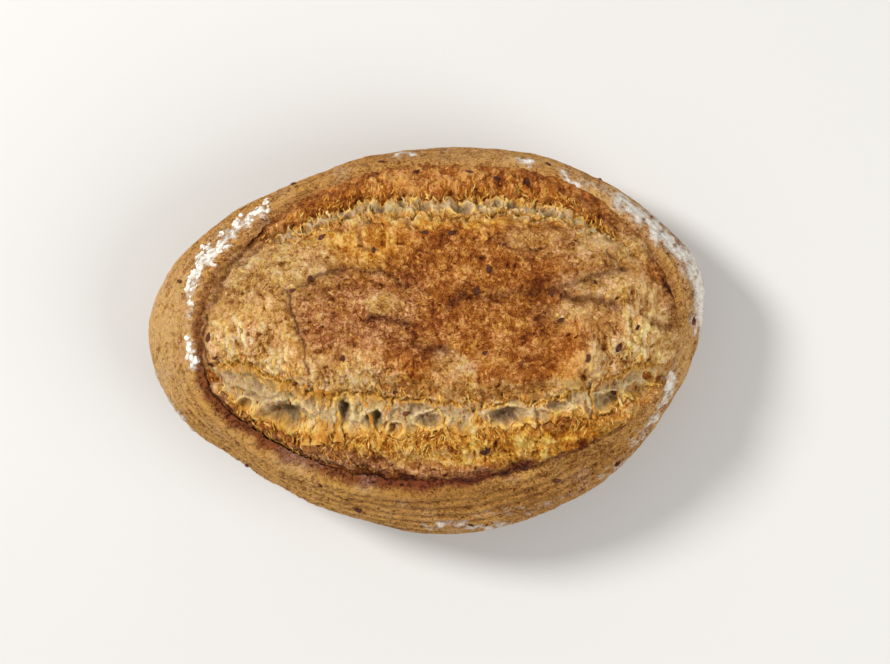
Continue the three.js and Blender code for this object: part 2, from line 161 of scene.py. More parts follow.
def cubic(a, b, c, d, t):
    return b + 0.5 * t * (c - a + t * (2 * a - 5 * b + 4 * c - d + t * (3 * (b - c) + d - a)))


def around(values):
    """A smooth closed run of values, evenly spaced round the loaf."""
    values = np.array(values, float)
    count = len(values)

    def value_at(angle):
        place = np.mod(angle / (2 * np.pi) * count, count)
        i = np.floor(place).astype(int)
        a, b, c, d = (values[(i + step) % count] for step in (-1, 0, 1, 2))
        return cubic(a, b, c, d, place - i)

    return value_at


def along(pairs):
    """A smooth run of values through [x, value] pairs."""
    places, values = np.array(pairs, float).T
    last = len(places) - 1

    def value_at(x):
        i = np.clip(np.searchsorted(places, x, side="left") - 1, 0, last - 1)
        t = np.clip((x - places[i]) / (places[i + 1] - places[i]), 0, 1)
        a, b, c, d = (values[np.clip(i + step, 0, last)] for step in (-1, 0, 1, 2))
        return cubic(a, b, c, d, t)

    return value_at


def beside_path(path, x, y):
    """The distance to a path in plan, which side of it a place lies on, and how far along it."""
    nearest = np.full(np.shape(x), np.inf)
    side, share = np.zeros(np.shape(x)), np.zeros(np.shape(x))
    for number, ((ax, ay), (bx, by)) in enumerate(zip(path, path[1:])):
        t = np.clip(((x - ax) * (bx - ax) + (y - ay) * (by - ay)) / ((bx - ax) ** 2 + (by - ay) ** 2), 0, 1)
        off_x, off_y = x - ax - t * (bx - ax), y - ay - t * (by - ay)
        distance = np.hypot(off_x, off_y)
        closer = distance < nearest
        side = np.where(closer, (bx - ax) * off_y - (by - ay) * off_x, side)
        share = np.where(closer, (number + t) / (len(path) - 1), share)
        nearest = np.minimum(nearest, distance)
    return nearest, np.sign(side), share


def share_around(values):
    """A smooth closed run of values round the loaf, kept between 0 and 1."""
    value_at = around(values)
    return lambda angle: np.clip(value_at(angle), 0, 1)


outline = around(OUTLINE)
skin_edge = around(SKIN_EDGE)
lip = share_around(LIP)
brim = share_around(BRIM)
charred_and_shaded = share_around(CHAR_AND_SHADE)


def torn_edge(angle):
    """The reach of the skin's edge, with its small tears."""
    x, y = np.cos(angle), np.sin(angle)
    tears = 0.8 * noise(12 * x, 12 * y, 3) + 0.6 * noise(31 * x, 31 * y, 5) + 0.45 * noise(80 * x, 80 * y)
    return skin_edge(angle) + tears


def widest_at(angle):
    return WIDEST_HEIGHT - TIP_DROP * np.cos(angle) ** 4


def polar(angle, reach, height):
    return np.stack(np.broadcast_arrays(reach * np.cos(angle), reach * np.sin(angle), height), axis=-1)


def dome_point(angle, reach):
    share = np.clip(reach / outline(angle), 0, 1)
    widest = widest_at(angle)
    height = widest + (DOME_HEIGHT - widest) * (1 - share**DOME_POWER) ** (1 / DOME_POWER)
    return polar(angle, reach, height)


def outward(points):
    """The way out of the plain form, taken from an ellipsoid of about its size."""
    x, y, z = np.moveaxis(points, -1, 0)
    rise = z - WIDEST_HEIGHT
    vertical = np.where(rise > 0, DOME_HEIGHT - WIDEST_HEIGHT, WIDEST_HEIGHT)
    way = np.stack([x / HALF_LENGTH**2, y / HALF_WIDTH**2, rise / vertical**2], axis=-1)
    return way / np.linalg.norm(way, axis=-1, keepdims=True)


def raised(points, height):
    return points + outward(points) * np.asarray(height)[..., None]


class Seam:
    """A long tear in the bloom, with its sizes along X. gentle_side is the side that slopes less."""

    def __init__(self, start, end, middle, half_width, depth, gentle_side, crumb_above, crumb_below):
        self.start, self.end, self.gentle_side = start, end, gentle_side
        self.middle, self.half_width, self.depth = along(middle), along(half_width), along(depth)
        self.crumb_above, self.crumb_below = along(crumb_above), along(crumb_below)

    def off_middle(self, x, y):
        return y - self.middle(x) + 1.6 * noise(x / 5.5, y / 9, 3) + 0.8 * noise(x / 2.4, y / 5, 8)

    def across(self, x, y):
        """0 in the seam's middle, and 1 or -1 at its two sides."""
        off = self.off_middle(x, y)
        return off / (self.half_width(x) * np.where(off * self.gentle_side > 0, GENTLE_SHARE, 1))

    def crumb_width(self, x, side):
        return np.where(side > 0, self.crumb_above(x), self.crumb_below(x))

    def within(self, x):
        """1 along the seam, falling to 0 past its ends."""
        begun = smoothstep(x, self.start - 4, self.start + 8)
        return begun * (1 - smoothstep(x, self.end - 8, self.end + 4))

    def crumb_share(self, x, y):
        """0 in the seam's middle and 1 at the crumb's border, which is ragged with torn flakes."""
        off = self.off_middle(x, y)
        off = off + 1.1 * noise(x / 2.3, y / 4, 41) + 0.7 * noise(x / 0.9, y / 1.8, 42)
        return np.abs(off) / self.crumb_width(x, off)

    def crumb(self, x, y, firm=0.8):
        """1 where the tear shows crumb, 0 on the crust."""
        return (1 - smoothstep(self.crumb_share(x, y), firm, 1.15)) * self.within(x)


LOWER_SEAM = Seam(
    start=-92,
    end=104,
    middle=[[-92, -15], [-73, -20], [-52, -29], [-18, -31], [20, -30.5], [53, -27], [80, -21], [104, -13]],
    half_width=[[-92, 3], [-73, 6.5], [-50, 9.5], [-20, 9], [15, 6.5], [55, 6], [85, 5.5], [104, 3]],
    depth=[[-92, 1.5], [-60, 6], [-30, 7.5], [10, 6.5], [50, 5.5], [85, 4], [104, 1]],
    gentle_side=1,
    crumb_above=[
        [-92, 5], [-80, 10], [-62, 11], [-46, 10], [-20, 8], [5, 5], [60, 4], [80, 6.5], [92, 8], [104, 4],
    ],
    crumb_below=[
        [-92, 2], [-78, 10], [-66, 13.5], [-52, 13], [-36, 10], [-10, 9], [20, 7], [60, 6.5],
        [80, 8.5], [92, 7], [104, 4],
    ],
)
UPPER_SEAM = Seam(
    start=-70,
    end=84,
    middle=[[-70, 43], [-52, 49], [-27, 56.5], [7, 58.5], [41, 58.5], [62, 54], [84, 44]],
    half_width=[[-70, 2], [-45, 4.5], [0, 5.5], [45, 5.2], [70, 4], [84, 2]],
    depth=[[-70, 1], [-45, 3.4], [0, 4.2], [45, 4.2], [84, 1]],
    gentle_side=-1,
    crumb_above=[[-70, 1.5], [-45, 3.5], [-15, 4], [7, 3.5], [30, 4.5], [62, 4], [84, 1.5]],
    crumb_below=[[-70, 1.5], [-45, 3.8], [-15, 5], [10, 5], [45, 3.5], [70, 3.2], [84, 1.5]],
)
SEAMS = [LOWER_SEAM, UPPER_SEAM]


def seam_relief(seam, x, y):
    """A seam's valley, the pits in it, and the crags along its steep side."""
    u = seam.across(x, y)
    valley = np.exp(-(u**4))
    rim = np.exp(-(((u * seam.gentle_side + 1.7) / 0.55) ** 2))
    pits = smoothstep(cells(x / 8.5, y / 7)[1], 0, 0.55) * np.exp(-(u * u))
    crags = RIM_RISE * rim * (0.6 + 0.4 * noise(x / 6, y / 6, 2))
    return seam.within(x) * (crags - seam.depth(x) * valley - 1.8 * pits)


def bloom_relief(x, y, inside, angle):
    """How far the bloom stands out of the plain dome: its lumps, seams and folds."""
    rise = BLOOM_RISE * smoothstep(inside, 0, BLOOM_REACH)
    groove = GROOVE_DEPTH * lip(angle) * np.exp(-((inside / GROOVE_WIDTH) ** 2))
    lumps = LUMP_HEIGHT * noise(x / LUMP_LENGTH + 4, y / LUMP_LENGTH) + 0.5 * noise(x / 9, y / 9, 5)
    height = rise - groove + lumps * smoothstep(inside, 0, 12)
    for seam in SEAMS:
        height = height + seam_relief(seam, x, y)
    warp_x, warp_y = x + 1.4 * noise(x / 8, y / 8, 201), y + 1.4 * noise(x / 8, y / 8, 202)
    for path, depth, width, step in FOLDS:
        away, side, share = beside_path(path, warp_x, warp_y)
        ends = np.sqrt(np.clip(4 * share * (1 - share), 0, 1))
        height = height - depth * np.exp(-((away / width) ** 2)) * ends
        height = height + 0.5 * step * ends * side * np.exp(-((away / 9) ** 2)) * smoothstep(away, 0, 0.8)
    return height


# Where the crust is torn into fibres, as middle x, middle y, reach along x, reach along y, strength.
FIBRE_PATCHES = [
    (-72, -8, 26, 24, 1.0), (-28, -16, 34, 13, 1.0), (25, -18, 45, 8, 0.9), (78, -8, 26, 20, 1.0),
    (20, -42, 95, 8, 1.0), (5, 67, 80, 7, 0.8), (-35, 50, 32, 9, 0.9), (90, 12, 14, 18, 0.9),
    (0, 49, 60, 5, 0.6), (-20, 42, 18, 8, 0.7),
]
# Where it stayed pale, turned golden or reddish, or burnt, and where shade is painted dark into creases and
# under overhanging crust.
PALE_PATCHES = [
    (-74, 0, 26, 28, 1.0), (-38, -14, 26, 11, 0.8), (90, -4, 24, 28, 1.0), (80, 22, 26, 9, 0.65),
    (-62, 30, 30, 16, 0.9), (76, 40, 24, 12, 0.6), (11, -9, 12, 6, 0.8), (30, -20, 60, 5, 0.4),
    (64, 12, 20, 7, 0.5), (50, 42, 22, 8, 0.3), (-18, 15.5, 7, 3.5, 0.9),
]
GOLD_PATCHES = [
    (45, -40, 62, 6, 1.0), (-20, -42, 22, 5, 0.8), (15, -21, 75, 6, 0.5), (10, 51, 62, 4, 0.8),
    (-45, 42, 22, 7, 0.8), (-75, -12, 22, 8, 0.7), (-20, 36, 16, 12, 0.4),
    (-60, -2, 14, 12, 0.4),
]
GOLD_STROKES = [
    ([[36, -50], [60, -43], [78, -36], [92, -28], [102, -23]], 6.0, 1.0),
    ([[-10, -47], [15, -48], [40, -46], [62, -39], [85, -29]], 4.0, 0.7),
]
RED_PATCHES = [
    (-24, 12, 30, 22, 0.6), (-45, 12, 16, 18, 0.45), (20, 12, 40, 14, 0.05), (50, 3, 26, 10, 0.05),
    (-60, -46, 44, 10, 0.9), (0, -52, 40, 6, 0.8), (60, -50, 30, 4, 0.5), (-50, 40, 20, 14, 0.4),
]
# Dark strokes: partly burnt crust, and partly painted shade along the folds' creases and under the bloom's
# overhanging border.
BURNT_AND_SHADE_STROKES = [
    ([[-21, 10], [-8, 8.5]], 2.0, 0.85), ([[-3, 0], [8, -3]], 2.0, 0.75), ([[10, 15], [15, 19]], 2.0, 0.75),
    ([[11, 16], [26, 19], [44, 20], [58, 22]], 2.2, 0.4), ([[58, 22], [70, 27], [85, 31]], 1.6, 0.65),
    ([[57, 19], [67, 17.5], [80, 14]], 1.6, 0.7),
    ([[-56, 22], [-55, 12], [-51, 1], [-47, -13]], 0.8, 0.8),
    ([[-51, 24], [-37, 29], [-27, 30], [-15, 27], [-6, 23]], 0.9, 0.7),
    ([[102, 27], [106, 22], [111, 17]], 1.6, 1.0), ([[97, 8], [104, 5]], 1.8, 0.5),
    ([[-22, 51], [-26, 46], [-25, 39], [-20, 36]], 0.8, 0.6), ([[-6, 50], [-5, 44]], 0.8, 0.5),
    ([[-88, 17], [-83, 32], [-78, 39], [-71, 47], [-58, 55]], 1.8, 0.6),
    ([[-78, 32], [-74, 36], [-68, 42]], 1.2, 0.6),
    ([[-91, -20], [-73, -38], [-56, -48], [-38, -55], [-20, -60]], 3.0, 0.85),
    ([[-92, 12], [-94, 2], [-92, -10], [-89, -19]], 0.8, 0.9),
    ([[-73, 48], [-87, 34], [-92, 23], [-95, 11]], 0.9, 0.6), ([[-45, -44], [-20, -47]], 4.5, 0.4),
    ([[-8, -59], [10, -59], [20, -58], [34, -54], [45, -49]], 3.4, 1.0),
    ([[60, -51], [70, -47], [82, -41], [96, -32]], 1.8, 0.8),
    ([[-60, 42], [-44, 50], [-30, 56]], 1.4, 0.5),
]


def patches(places, x, y, ragged=5.0):
    """How strongly a point lies in any of some soft round patches, from 0 to 1."""
    warp_x = x + ragged * cloud(x / 9, y / 9, 21)
    warp_y = y + ragged * cloud(x / 9, y / 9, 34)
    total = np.zeros(np.shape(x))
    for middle_x, middle_y, reach_x, reach_y, strength in places:
        share = np.hypot((warp_x - middle_x) / reach_x, (warp_y - middle_y) / reach_y)
        total = np.maximum(total, strength * (1 - smoothstep(share, 0.45, 1.25)))
    return total


def strokes(places, x, y, ragged=1.2):
    """How strongly a point lies on any of some soft lines, from 0 to 1."""
    warp_x = x + ragged * cloud(x / 3, y / 3, 51) + 1.4 * noise(x / 8, y / 8, 201)
    warp_y = y + ragged * cloud(x / 3, y / 3, 62) + 1.4 * noise(x / 8, y / 8, 202)
    total = np.zeros(np.shape(x))
    for path, width, strength in places:
        away = beside_path(path, warp_x, warp_y)[0]
        total = np.maximum(total, strength * np.exp(-((away / width) ** 2)))
    return total


def blisters(x, y, size, share):
    """Small domes of one size, on some share of the places where one fits."""
    near, _, number = cells(x / size, y / size)
    return np.sqrt(np.clip(1 - (near / 0.5) ** 2, 0, 1)) * (number < share) * (0.5 + number / share * 0.5)


def crust_grain(x, y, fibrous):
    """The crust's own fine relief, from about -1 to 1: blisters and flakes, or torn fibres."""
    warp_x = x + 0.9 * noise(x / 2.1, y / 2.1, 4) + 0.35 * noise(x / 0.9, y / 0.9, 14)
    warp_y = y + 0.9 * noise(x / 2.1, y / 2.1, 9) + 0.35 * noise(x / 0.9, y / 0.9, 19)
    bubbled = 0.9 * blisters(warp_x, warp_y, 3.6, 0.4) + 0.8 * blisters(warp_x, warp_y, 1.9, 0.5) - 0.4
    webbed = ridges(warp_x / 3.4, warp_y / 3.4, 71, 3)
    plain = 0.28 * bubbled + 0.42 * webbed
    lean = 0.16 * y + 2.2 * noise(x / 14, y / 14, 81)
    near, _, number = cells((warp_x + lean) / 4.6, warp_y / 14)
    bulge = np.sqrt(np.clip(1 - (near / 0.72) ** 2, 0, 1)) * (0.35 + 0.9 * number) - 0.5
    near, _, number = cells((warp_x + lean) / 2.3, warp_y / 6)
    scale = np.sqrt(np.clip(1 - (near / 0.75) ** 2, 0, 1)) * (0.2 + 1.1 * number) - 0.5
    drawn = 0.8 * bulge + 0.4 * scale + 0.4 * ridges((warp_x + lean) / 2.2, warp_y / 7, 82, 3)
    return plain + (drawn - plain) * fibrous + 0.25 * ridges(x / 1.3, y / 1.3, 83, 2)


BLOOM_INSET = 1.0  # the bare bloom lies this much inside the CAD model, and its grain fills that up
SEAM_CLEARANCE = 6.5  # how much lower the bloom lies under the crumb pieces that fill its seams
TUCK_DEPTH = 1.1  # how far bloom and skin dive under each other where they meet without a groove
TUCK_REACH = 1.8
BLOOM_RINGS = 164
BLOOM_SEGMENTS = 1024
THINNING = 0.75  # the rings' segments fall by this factor each time their reach has
# The hidden underside: shares of the reach, and how deep each lies.
UNDERSIDE = [(0.97, 3), (0.9, 6), (0.7, 9), (0.4, 12), (0.15, 12), (0, 12)]


def ring_faces(counts):
    """Faces between rings of points, where a ring may have more or fewer points than the next."""
    starts = np.concatenate([[0], np.cumsum(counts)])
    faces = []
    for start, count, next_start, next_count in zip(starts, counts, starts[1:], counts[1:]):
        most = max(count, next_count)
        steps = np.arange(most + 1)
        near = start + (steps * count // most) % count
        far = next_start + (steps * next_count // most) % next_count
        quads = np.stack([near[:-1], far[:-1], far[1:], near[1:]], axis=-1)
        faces += [list(dict.fromkeys(quad)) for quad in quads.tolist()]
    return faces


def grid_faces(rows, columns):
    index = np.arange(rows * columns).reshape(rows, columns)
    corners = [index[:-1, :-1], index[1:, :-1], index[1:, 1:], index[:-1, 1:]]
    return np.stack(corners, axis=-1).reshape(-1, 4)


def ring_angles(counts):
    return np.concatenate([2 * np.pi * np.arange(count) / count for count in counts])


def link(piece):
    bpy.context.scene.collection.objects.link(piece)
    return piece


def make_piece(name, points, faces, masks=None, edges=()):
    """A smooth mesh object from points in millimetres, with a value at each point for each mask."""
    mesh = bpy.data.meshes.new(name)
    mesh.from_pydata((np.asarray(points) * MILLIMETRE).tolist(), list(edges), faces)
    mesh.shade_smooth()
    for mask_name, values in (masks or {}).items():
        values = np.ascontiguousarray(values, np.float32)
        kind, key = ("FLOAT", "value") if values.ndim == 1 else ("FLOAT_VECTOR", "vector")
        mesh.attributes.new(mask_name, kind, "POINT").data.foreach_set(key, values.ravel())
    return link(bpy.data.objects.new(name, mesh))


def bloom_points(x, y, lowered=0.0):
    """Points of the bloom over places x, y of the plain dome, and how fibrous its grain is there."""
    angle, reach = np.arctan2(y, x), np.hypot(x, y)
    inside = torn_edge(angle) - reach
    fibrous = patches(FIBRE_PATCHES, x, y)
    grain = crust_grain(x, y, fibrous)
    torn = np.maximum(*[torn_border(seam, x, y) for seam in SEAMS])
    brimmed = brim(angle) * np.exp(-((np.maximum(inside, 0) / BRIM_WIDTH) ** 2))
    torn = np.maximum(torn, brimmed)
    crags = torn * (1.1 * ridges(x / 3.1, y / 4.2, 61, 3) + 0.3)
    swell = cloud(x / 6 + 0.2 * y, y / 8, 31, 3)
    near, _, number = cells(x / 6.5 + noise(x / 5, y / 5, 32), y / 6.5)
    pit = (number > 0.82) * (1 - smoothstep(near, 0.02, 0.2))
    flakes = smoothstep(cloud(x / 10, y / 7, 97, 3), -0.04, 0.04)
    flakes = flakes + 0.7 * smoothstep(cloud(x / 5, y / 4, 98, 3), 0, 0.08)
    crease = np.exp(-((cloud(x / 12, y / 9, 95, 2) / 0.05) ** 2))
    crease = crease * smoothstep(cloud(x / 22, y / 22, 96, 1), -0.3, 0.4)
    # The pits and creases deepen the relief here, and through the grain mask they also paint the crust
    # darker: partly painted shade.
    grain = grain + 0.5 * swell - 1.6 * pit + 0.5 * (flakes - 0.8) - 0.6 * crease
    fine = (grain * (0.5 + 0.5 * fibrous) + 1.5 * swell + crags) * smoothstep(inside, 0, 3)
    tucked = TUCK_DEPTH * (1 - lip(angle)) * (1 - smoothstep(inside, -TUCK_REACH, TUCK_REACH))
    step = BRIM_STEP * brimmed * smoothstep(inside, -1.5, 0.4)
    lowered = lowered + tucked + BLOOM_INSET * smoothstep(inside, 4, 12)
    height = bloom_relief(x, y, np.maximum(inside, 0), angle) + step + fine - lowered
    return raised(dome_point(angle, reach), height), grain, fibrous


def torn_border(seam, x, y):
    """1 on the ragged border of a seam's crumb, falling to 0 away from it."""
    share = seam.crumb_share(x, y)
    return np.exp(-(((share - 1.35) / 0.5) ** 2)) * seam.within(x)


def beside_crumb(seam, x, y):
    """1 on the crust that slopes gently down to a seam's crumb, where the dough was drawn out thin."""
    share = seam.crumb_share(x, y)
    gentle = smoothstep(seam.gentle_side * seam.off_middle(x, y), -1, 1)
    return (1 - smoothstep(share, 1.2, 2.3)) * gentle * seam.within(x)


def make_bloom():
    shares = np.arange(1, BLOOM_RINGS + 1) / BLOOM_RINGS
    steps = np.floor(np.log(shares) / np.log(THINNING) + 1e-9).astype(int)
    top_counts = [1] + [max(24, round(BLOOM_SEGMENTS * THINNING**step)) for step in steps]
    under_counts = [BLOOM_SEGMENTS // 2**step for step in range(1, len(UNDERSIDE))] + [1]
    angle = ring_angles(top_counts)
    share = np.repeat(np.concatenate([[0], shares]), top_counts)
    strength = lip(angle)
    reach = share * (torn_edge(angle) + (UNDERCUT * strength + TUCK_REACH * (1 - strength)) * share**12)
    x, y = reach * np.cos(angle), reach * np.sin(angle)
    crumb = np.maximum(*[seam.crumb(x, y) for seam in SEAMS])
    top, grain, fibrous = bloom_points(x, y, SEAM_CLEARANCE * crumb)
    inside = np.maximum(torn_edge(angle) - reach, 0)
    # Dark along the bloom's torn edge: partly burnt crust and partly painted shade in the groove there.
    ragged = inside + 1.2 * cloud(x / 3, y / 3, 91)
    groove = np.exp(-((np.maximum(ragged, 0) / (2.4 + 0.6 * strength)) ** 2)) * charred_and_shaded(angle)
    beside = np.maximum(*[beside_crumb(seam, x, y) for seam in SEAMS])
    masks = {
        "grain": grain,
        "fibrous": fibrous,
        "pale": np.maximum(patches(PALE_PATCHES, x, y), 0.75 * beside),
        "gold": np.maximum(patches(GOLD_PATCHES, x, y, 4), strokes(GOLD_STROKES, x, y, 3)),
        "red": patches(RED_PATCHES, x, y, 7),
        "burnt_and_shaded": np.clip(np.maximum(strokes(BURNT_AND_SHADE_STROKES, x, y), groove), 0, 1),
    }

    under = []
    for (part, depth), count in zip(UNDERSIDE, under_counts):
        angles = ring_angles([count])
        ring = dome_point(angles, part * torn_edge(angles))
        ring[:, 2] -= depth
        under.append(ring)
    hidden = np.zeros(sum(under_counts))
    masks = {name: np.concatenate([values, hidden]) for name, values in masks.items()}
    points = np.concatenate([top, *under])
    return make_piece("loaf_bloom", points, ring_faces(top_counts + under_counts), masks)


bloom = make_bloom()


def paint(red, green, blue):
    """A colour as it looks on a screen, from 0 to 255, turned into the one that a shader needs."""
    def linear(level):
        level /= 255
        return level / 12.92 if level <= 0.04045 else ((level + 0.055) / 1.055) ** 2.4

    return (linear(red), linear(green), linear(blue), 1)


def join(tree, value, socket):
    """Links a value that is a socket, and sets one that is plain."""
    if isinstance(value, bpy.types.NodeSocket):
        tree.links.new(value, socket)
    else:
        socket.default_value = value


def add(tree, kind, inputs=None, **settings):
    """A new node, with its settings and its inputs."""
    made = tree.nodes.new(kind)
    for name, value in settings.items():
        setattr(made, name, value)
    for place, value in (inputs or {}).items():
        join(tree, value, made.inputs[place])
    return made


def maths(tree, operation, *terms):
    return add(tree, "ShaderNodeMath", dict(enumerate(terms)), operation=operation).outputs[0]


def added(tree, total, value, amount, middle=None):
    """A total plus an amount of a value, which may be counted from its middle."""
    if middle is not None:
        value = maths(tree, "SUBTRACT", value, middle)
    return maths(tree, "MULTIPLY_ADD", value, amount, total)


def vectors(tree, operation, *terms):
    return add(tree, "ShaderNodeVectorMath", dict(enumerate(terms)), operation=operation).outputs[0]


def scaled(tree, vector, factor):
    return add(tree, "ShaderNodeVectorMath", {0: vector, "Scale": factor}, operation="SCALE").outputs[0]


def channels(tree, colour):
    return add(tree, "ShaderNodeSeparateColor", {0: colour}).outputs


def rescaled(tree, value, low, high, new_low, new_high, clamp=True):
    ends = {0: value, 1: low, 2: high, 3: new_low, 4: new_high}
    return add(tree, "ShaderNodeMapRange", ends, clamp=clamp).outputs[0]


def patchy(tree, place, scale, detail, roughness=0.5):
    """Plain noise from 0 to 1."""
    settings = {"Vector": place, "Scale": scale, "Detail": detail, "Roughness": roughness}
    return add(tree, "ShaderNodeTexNoise", settings).outputs["Fac"]


def blend(tree, share, first, second, way="MIX"):
    """A mix of two colours."""
    mixed = add(tree, "ShaderNodeMix", {0: share, 6: first, 7: second}, data_type="RGBA", blend_type=way)
    return mixed.outputs[2]


def ramp(tree, share, places, colours):
    """A run of colours, each at its place on a share from 0 to 1."""
    made = add(tree, "ShaderNodeValToRGB", {0: share})
    elements = made.color_ramp.elements
    while len(elements) < len(places):
        elements.new(0.5)
    for element, place, colour in zip(elements, places, colours):
        element.position = place
        element.color = colour
    return made.outputs[0]


def shades(tree, tone, *colours, places=None):
    """A run of screen colours over a tone, from dark to light."""
    places = places or ((0.0, 0.5, 1.0) if len(colours) == 3 else (0.0, 0.35, 0.65, 1.0))
    return ramp(tree, tone, places, [paint(*colour) for colour in colours])


def tinted(tree, colour, share, *tints):
    """A colour times a tint, rosy where the share is low and yellow where it is high."""
    tint = ramp(tree, share, (0.1, 0.5, 0.9), [(*tint, 1) for tint in tints])
    return blend(tree, 1.0, colour, tint, "MULTIPLY")


def mask(tree, name):
    return add(tree, "ShaderNodeAttribute", attribute_name=name).outputs["Fac"]


def new_material(name):
    material = bpy.data.materials.new(name)
    material.use_nodes = True
    tree = material.node_tree
    tree.nodes.clear()
    surface = tree.nodes.new("ShaderNodeBsdfPrincipled")
    join(tree, surface.outputs[0], tree.nodes.new("ShaderNodeOutputMaterial").inputs[0])
    return material, tree, surface


def object_place(tree):
    return add(tree, "ShaderNodeTexCoord").outputs["Object"]


def finish(tree, surface, colour, roughness, shine, height=None, depth=None):
    """A surface's colour, roughness and shine, and its bump from a height that is a depth in metres."""
    join(tree, colour, surface.inputs["Base Color"])
    join(tree, roughness, surface.inputs["Roughness"])
    surface.inputs["Specular IOR Level"].default_value = shine
    if height is not None:
        bump = add(tree, "ShaderNodeBump", {"Height": height, "Distance": depth, "Strength": 1.0})
        join(tree, bump.outputs[0], surface.inputs["Normal"])


def new_group(name, inputs, outputs, kind="ShaderNodeTree"):
    """A node group with named sockets, what its nodes are given, and where they put their results."""
    group = bpy.data.node_groups.new(name, kind)
    for way, sockets in (("INPUT", inputs), ("OUTPUT", outputs)):
        for title, socket_type in sockets.items():
            group.interface.new_socket(title, in_out=way, socket_type=socket_type)
    return group, group.nodes.new("NodeGroupInput").outputs, group.nodes.new("NodeGroupOutput").inputs


# Fine baked grain, for every bread surface: flecks, pores and threads too small for the mesh. Size
# is in millimetres, and Fibrous turns it from round flecks, at 0, into threads along Y, at 1.
# Its Tone is its height rescaled, so every colour built on it is lighter on the grain's crests and darker in
# its hollows: partly the bread's own colour, partly painted light and shade.
def make_bake_grain():
    inputs = {"Vector": "NodeSocketVector", "Size": "NodeSocketFloat", "Fibrous": "NodeSocketFloat"}
    outputs = dict.fromkeys(["Height", "Tone", "Hue", "Flake"], "NodeSocketFloat")
    group, given, result = new_group("bake grain", inputs, outputs)
    scale = maths(group, "DIVIDE", 1000.0, given["Size"])
    drift = add(group, "ShaderNodeTexNoise", {"Vector": given["Vector"], "Scale": scale, "Detail": 2.0})
    drift = vectors(group, "SUBTRACT", drift.outputs["Color"], (0.5, 0.5, 0.5))
    drift = scaled(group, drift, maths(group, "MULTIPLY", given["Size"], 0.0022))
    round_place = vectors(group, "ADD", given["Vector"], drift)
    long_place = {"Vector": round_place, "Scale": (1.3, 0.34, 0.6)}
    long_place = add(group, "ShaderNodeMapping", long_place).outputs[0]

    def grain(place):
        """Its height, and a hue for each fleck."""
        fog = add(group, "ShaderNodeTexNoise", {
            "Vector": place, "Scale": scale, "Detail": 5.0, "Roughness": 0.78, "Distortion": 0.9})
        wave = add(group, "ShaderNodeTexNoise", {
            "Vector": place, "Scale": scale, "Detail": 3.0, "Roughness": 0.6, "Distortion": 1.4})
        wave = maths(group, "SUBTRACT", channels(group, wave.outputs["Color"])[1], 0.5)
        height = maths(group, "MULTIPLY", maths(group, "ABSOLUTE", wave), -1.1)
        fleck = add(group, "ShaderNodeTexVoronoi", {"Vector": place, "Scale": scale})
        level, hue, _ = channels(group, fleck.outputs["Color"])
        height = added(group, height, fog.outputs["Fac"], 0.7)
        height = added(group, height, level, 0.08)
        return added(group, height, fleck.outputs["Distance"], -0.08), hue

    def flake(place, share):
        """A number for each large fleck, whose size is the grain's over a share."""
        flecks = {"Vector": place, "Scale": maths(group, "MULTIPLY", scale, share)}
        return channels(group, add(group, "ShaderNodeTexVoronoi", flecks).outputs["Color"])[2]

    def either(plain, fibrous):
        return add(group, "ShaderNodeMix", {0: given["Fibrous"], 2: plain, 3: fibrous}).outputs[0]

    (plain_height, plain_hue), (torn_height, torn_hue) = grain(round_place), grain(long_place)
    height = either(plain_height, torn_height)
    join(group, height, result["Height"])
    join(group, rescaled(group, height, 0.0, 0.44, -1.0, 1.0, False), result["Tone"])
    join(group, either(plain_hue, torn_hue), result["Hue"])
    join(group, either(flake(round_place, 0.36), flake(long_place, 0.55)), result["Flake"])
    return group


bake_grain = make_bake_grain()


def baked(tree, place, size, fibrous=0.0):
    sockets = {"Vector": place, "Size": size, "Fibrous": fibrous}
    return add(tree, "ShaderNodeGroup", sockets, node_tree=bake_grain).outputs


def make_bloom_material():
    material, tree, surface = new_material("browned crust")
    place = object_place(tree)
    fine = baked(tree, place, 1.6, mask(tree, "fibrous"))
    coarse = added(tree, 0.29, mask(tree, "fibrous"), 0.14)
    # The tone follows the crust's relief: lighter on its crests, darker in its pits, creases and valleys;
    # partly the crust's own colour and partly painted light and shade.
    tone = added(tree, 0.375, mask(tree, "grain"), coarse)
    tone = added(tree, tone, fine["Tone"], 0.68)
    tone = added(tree, tone, fine["Flake"], 0.16, 0.5)
    tone = added(tree, tone, patchy(tree, place, 110.0, 3.0), 0.45, 0.5)
    brown = shades(tree, tone, (80, 28, 4), (140, 70, 14), (184, 108, 34), (238, 178, 98))
    pale = shades(tree, tone, (128, 66, 20), (206, 150, 78), (236, 188, 118), (255, 232, 178))
    gold = shades(tree, tone, (120, 50, 4), (194, 114, 22), (228, 164, 58), (252, 220, 122))
    red = shades(tree, tone, (78, 28, 10), (154, 88, 42), (204, 138, 80), (250, 208, 156))
    burnt_and_shaded = shades(tree, tone, (28, 2, 0), (70, 18, 5), (150, 76, 36))
    colour = blend(tree, mask(tree, "red"), brown, red)
    colour = blend(tree, mask(tree, "gold"), colour, gold)
    colour = blend(tree, mask(tree, "pale"), colour, pale)
    hue = added(tree, fine["Hue"], fine["Flake"], -0.5, 0.5)
    colour = tinted(tree, colour, hue, (1.05, 0.95, 1.08), (1, 1, 1), (1.04, 1.02, 0.7))
    # Painted shade and burnt crust: the dark strokes and the dark torn edge in the groove.
    colour = blend(tree, mask(tree, "burnt_and_shaded"), colour, burnt_and_shaded)
    roughness = rescaled(tree, tone, 0.0, 1.0, 0.85, 0.6)
    finish(tree, surface, colour, roughness, 0.15, fine["Height"], 0.0022)
    return material


bloom.data.materials.append(make_bloom_material())
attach(bloom, "root")
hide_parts("loaf")


# The skin
# The dough's outer skin, tightened when the loaf was shaped and dusted with flour in its proving
# basket. It tore along a ragged edge that curled up over the bloom, and it runs down the flanks
# and under the base, where it baked dry on the stone.

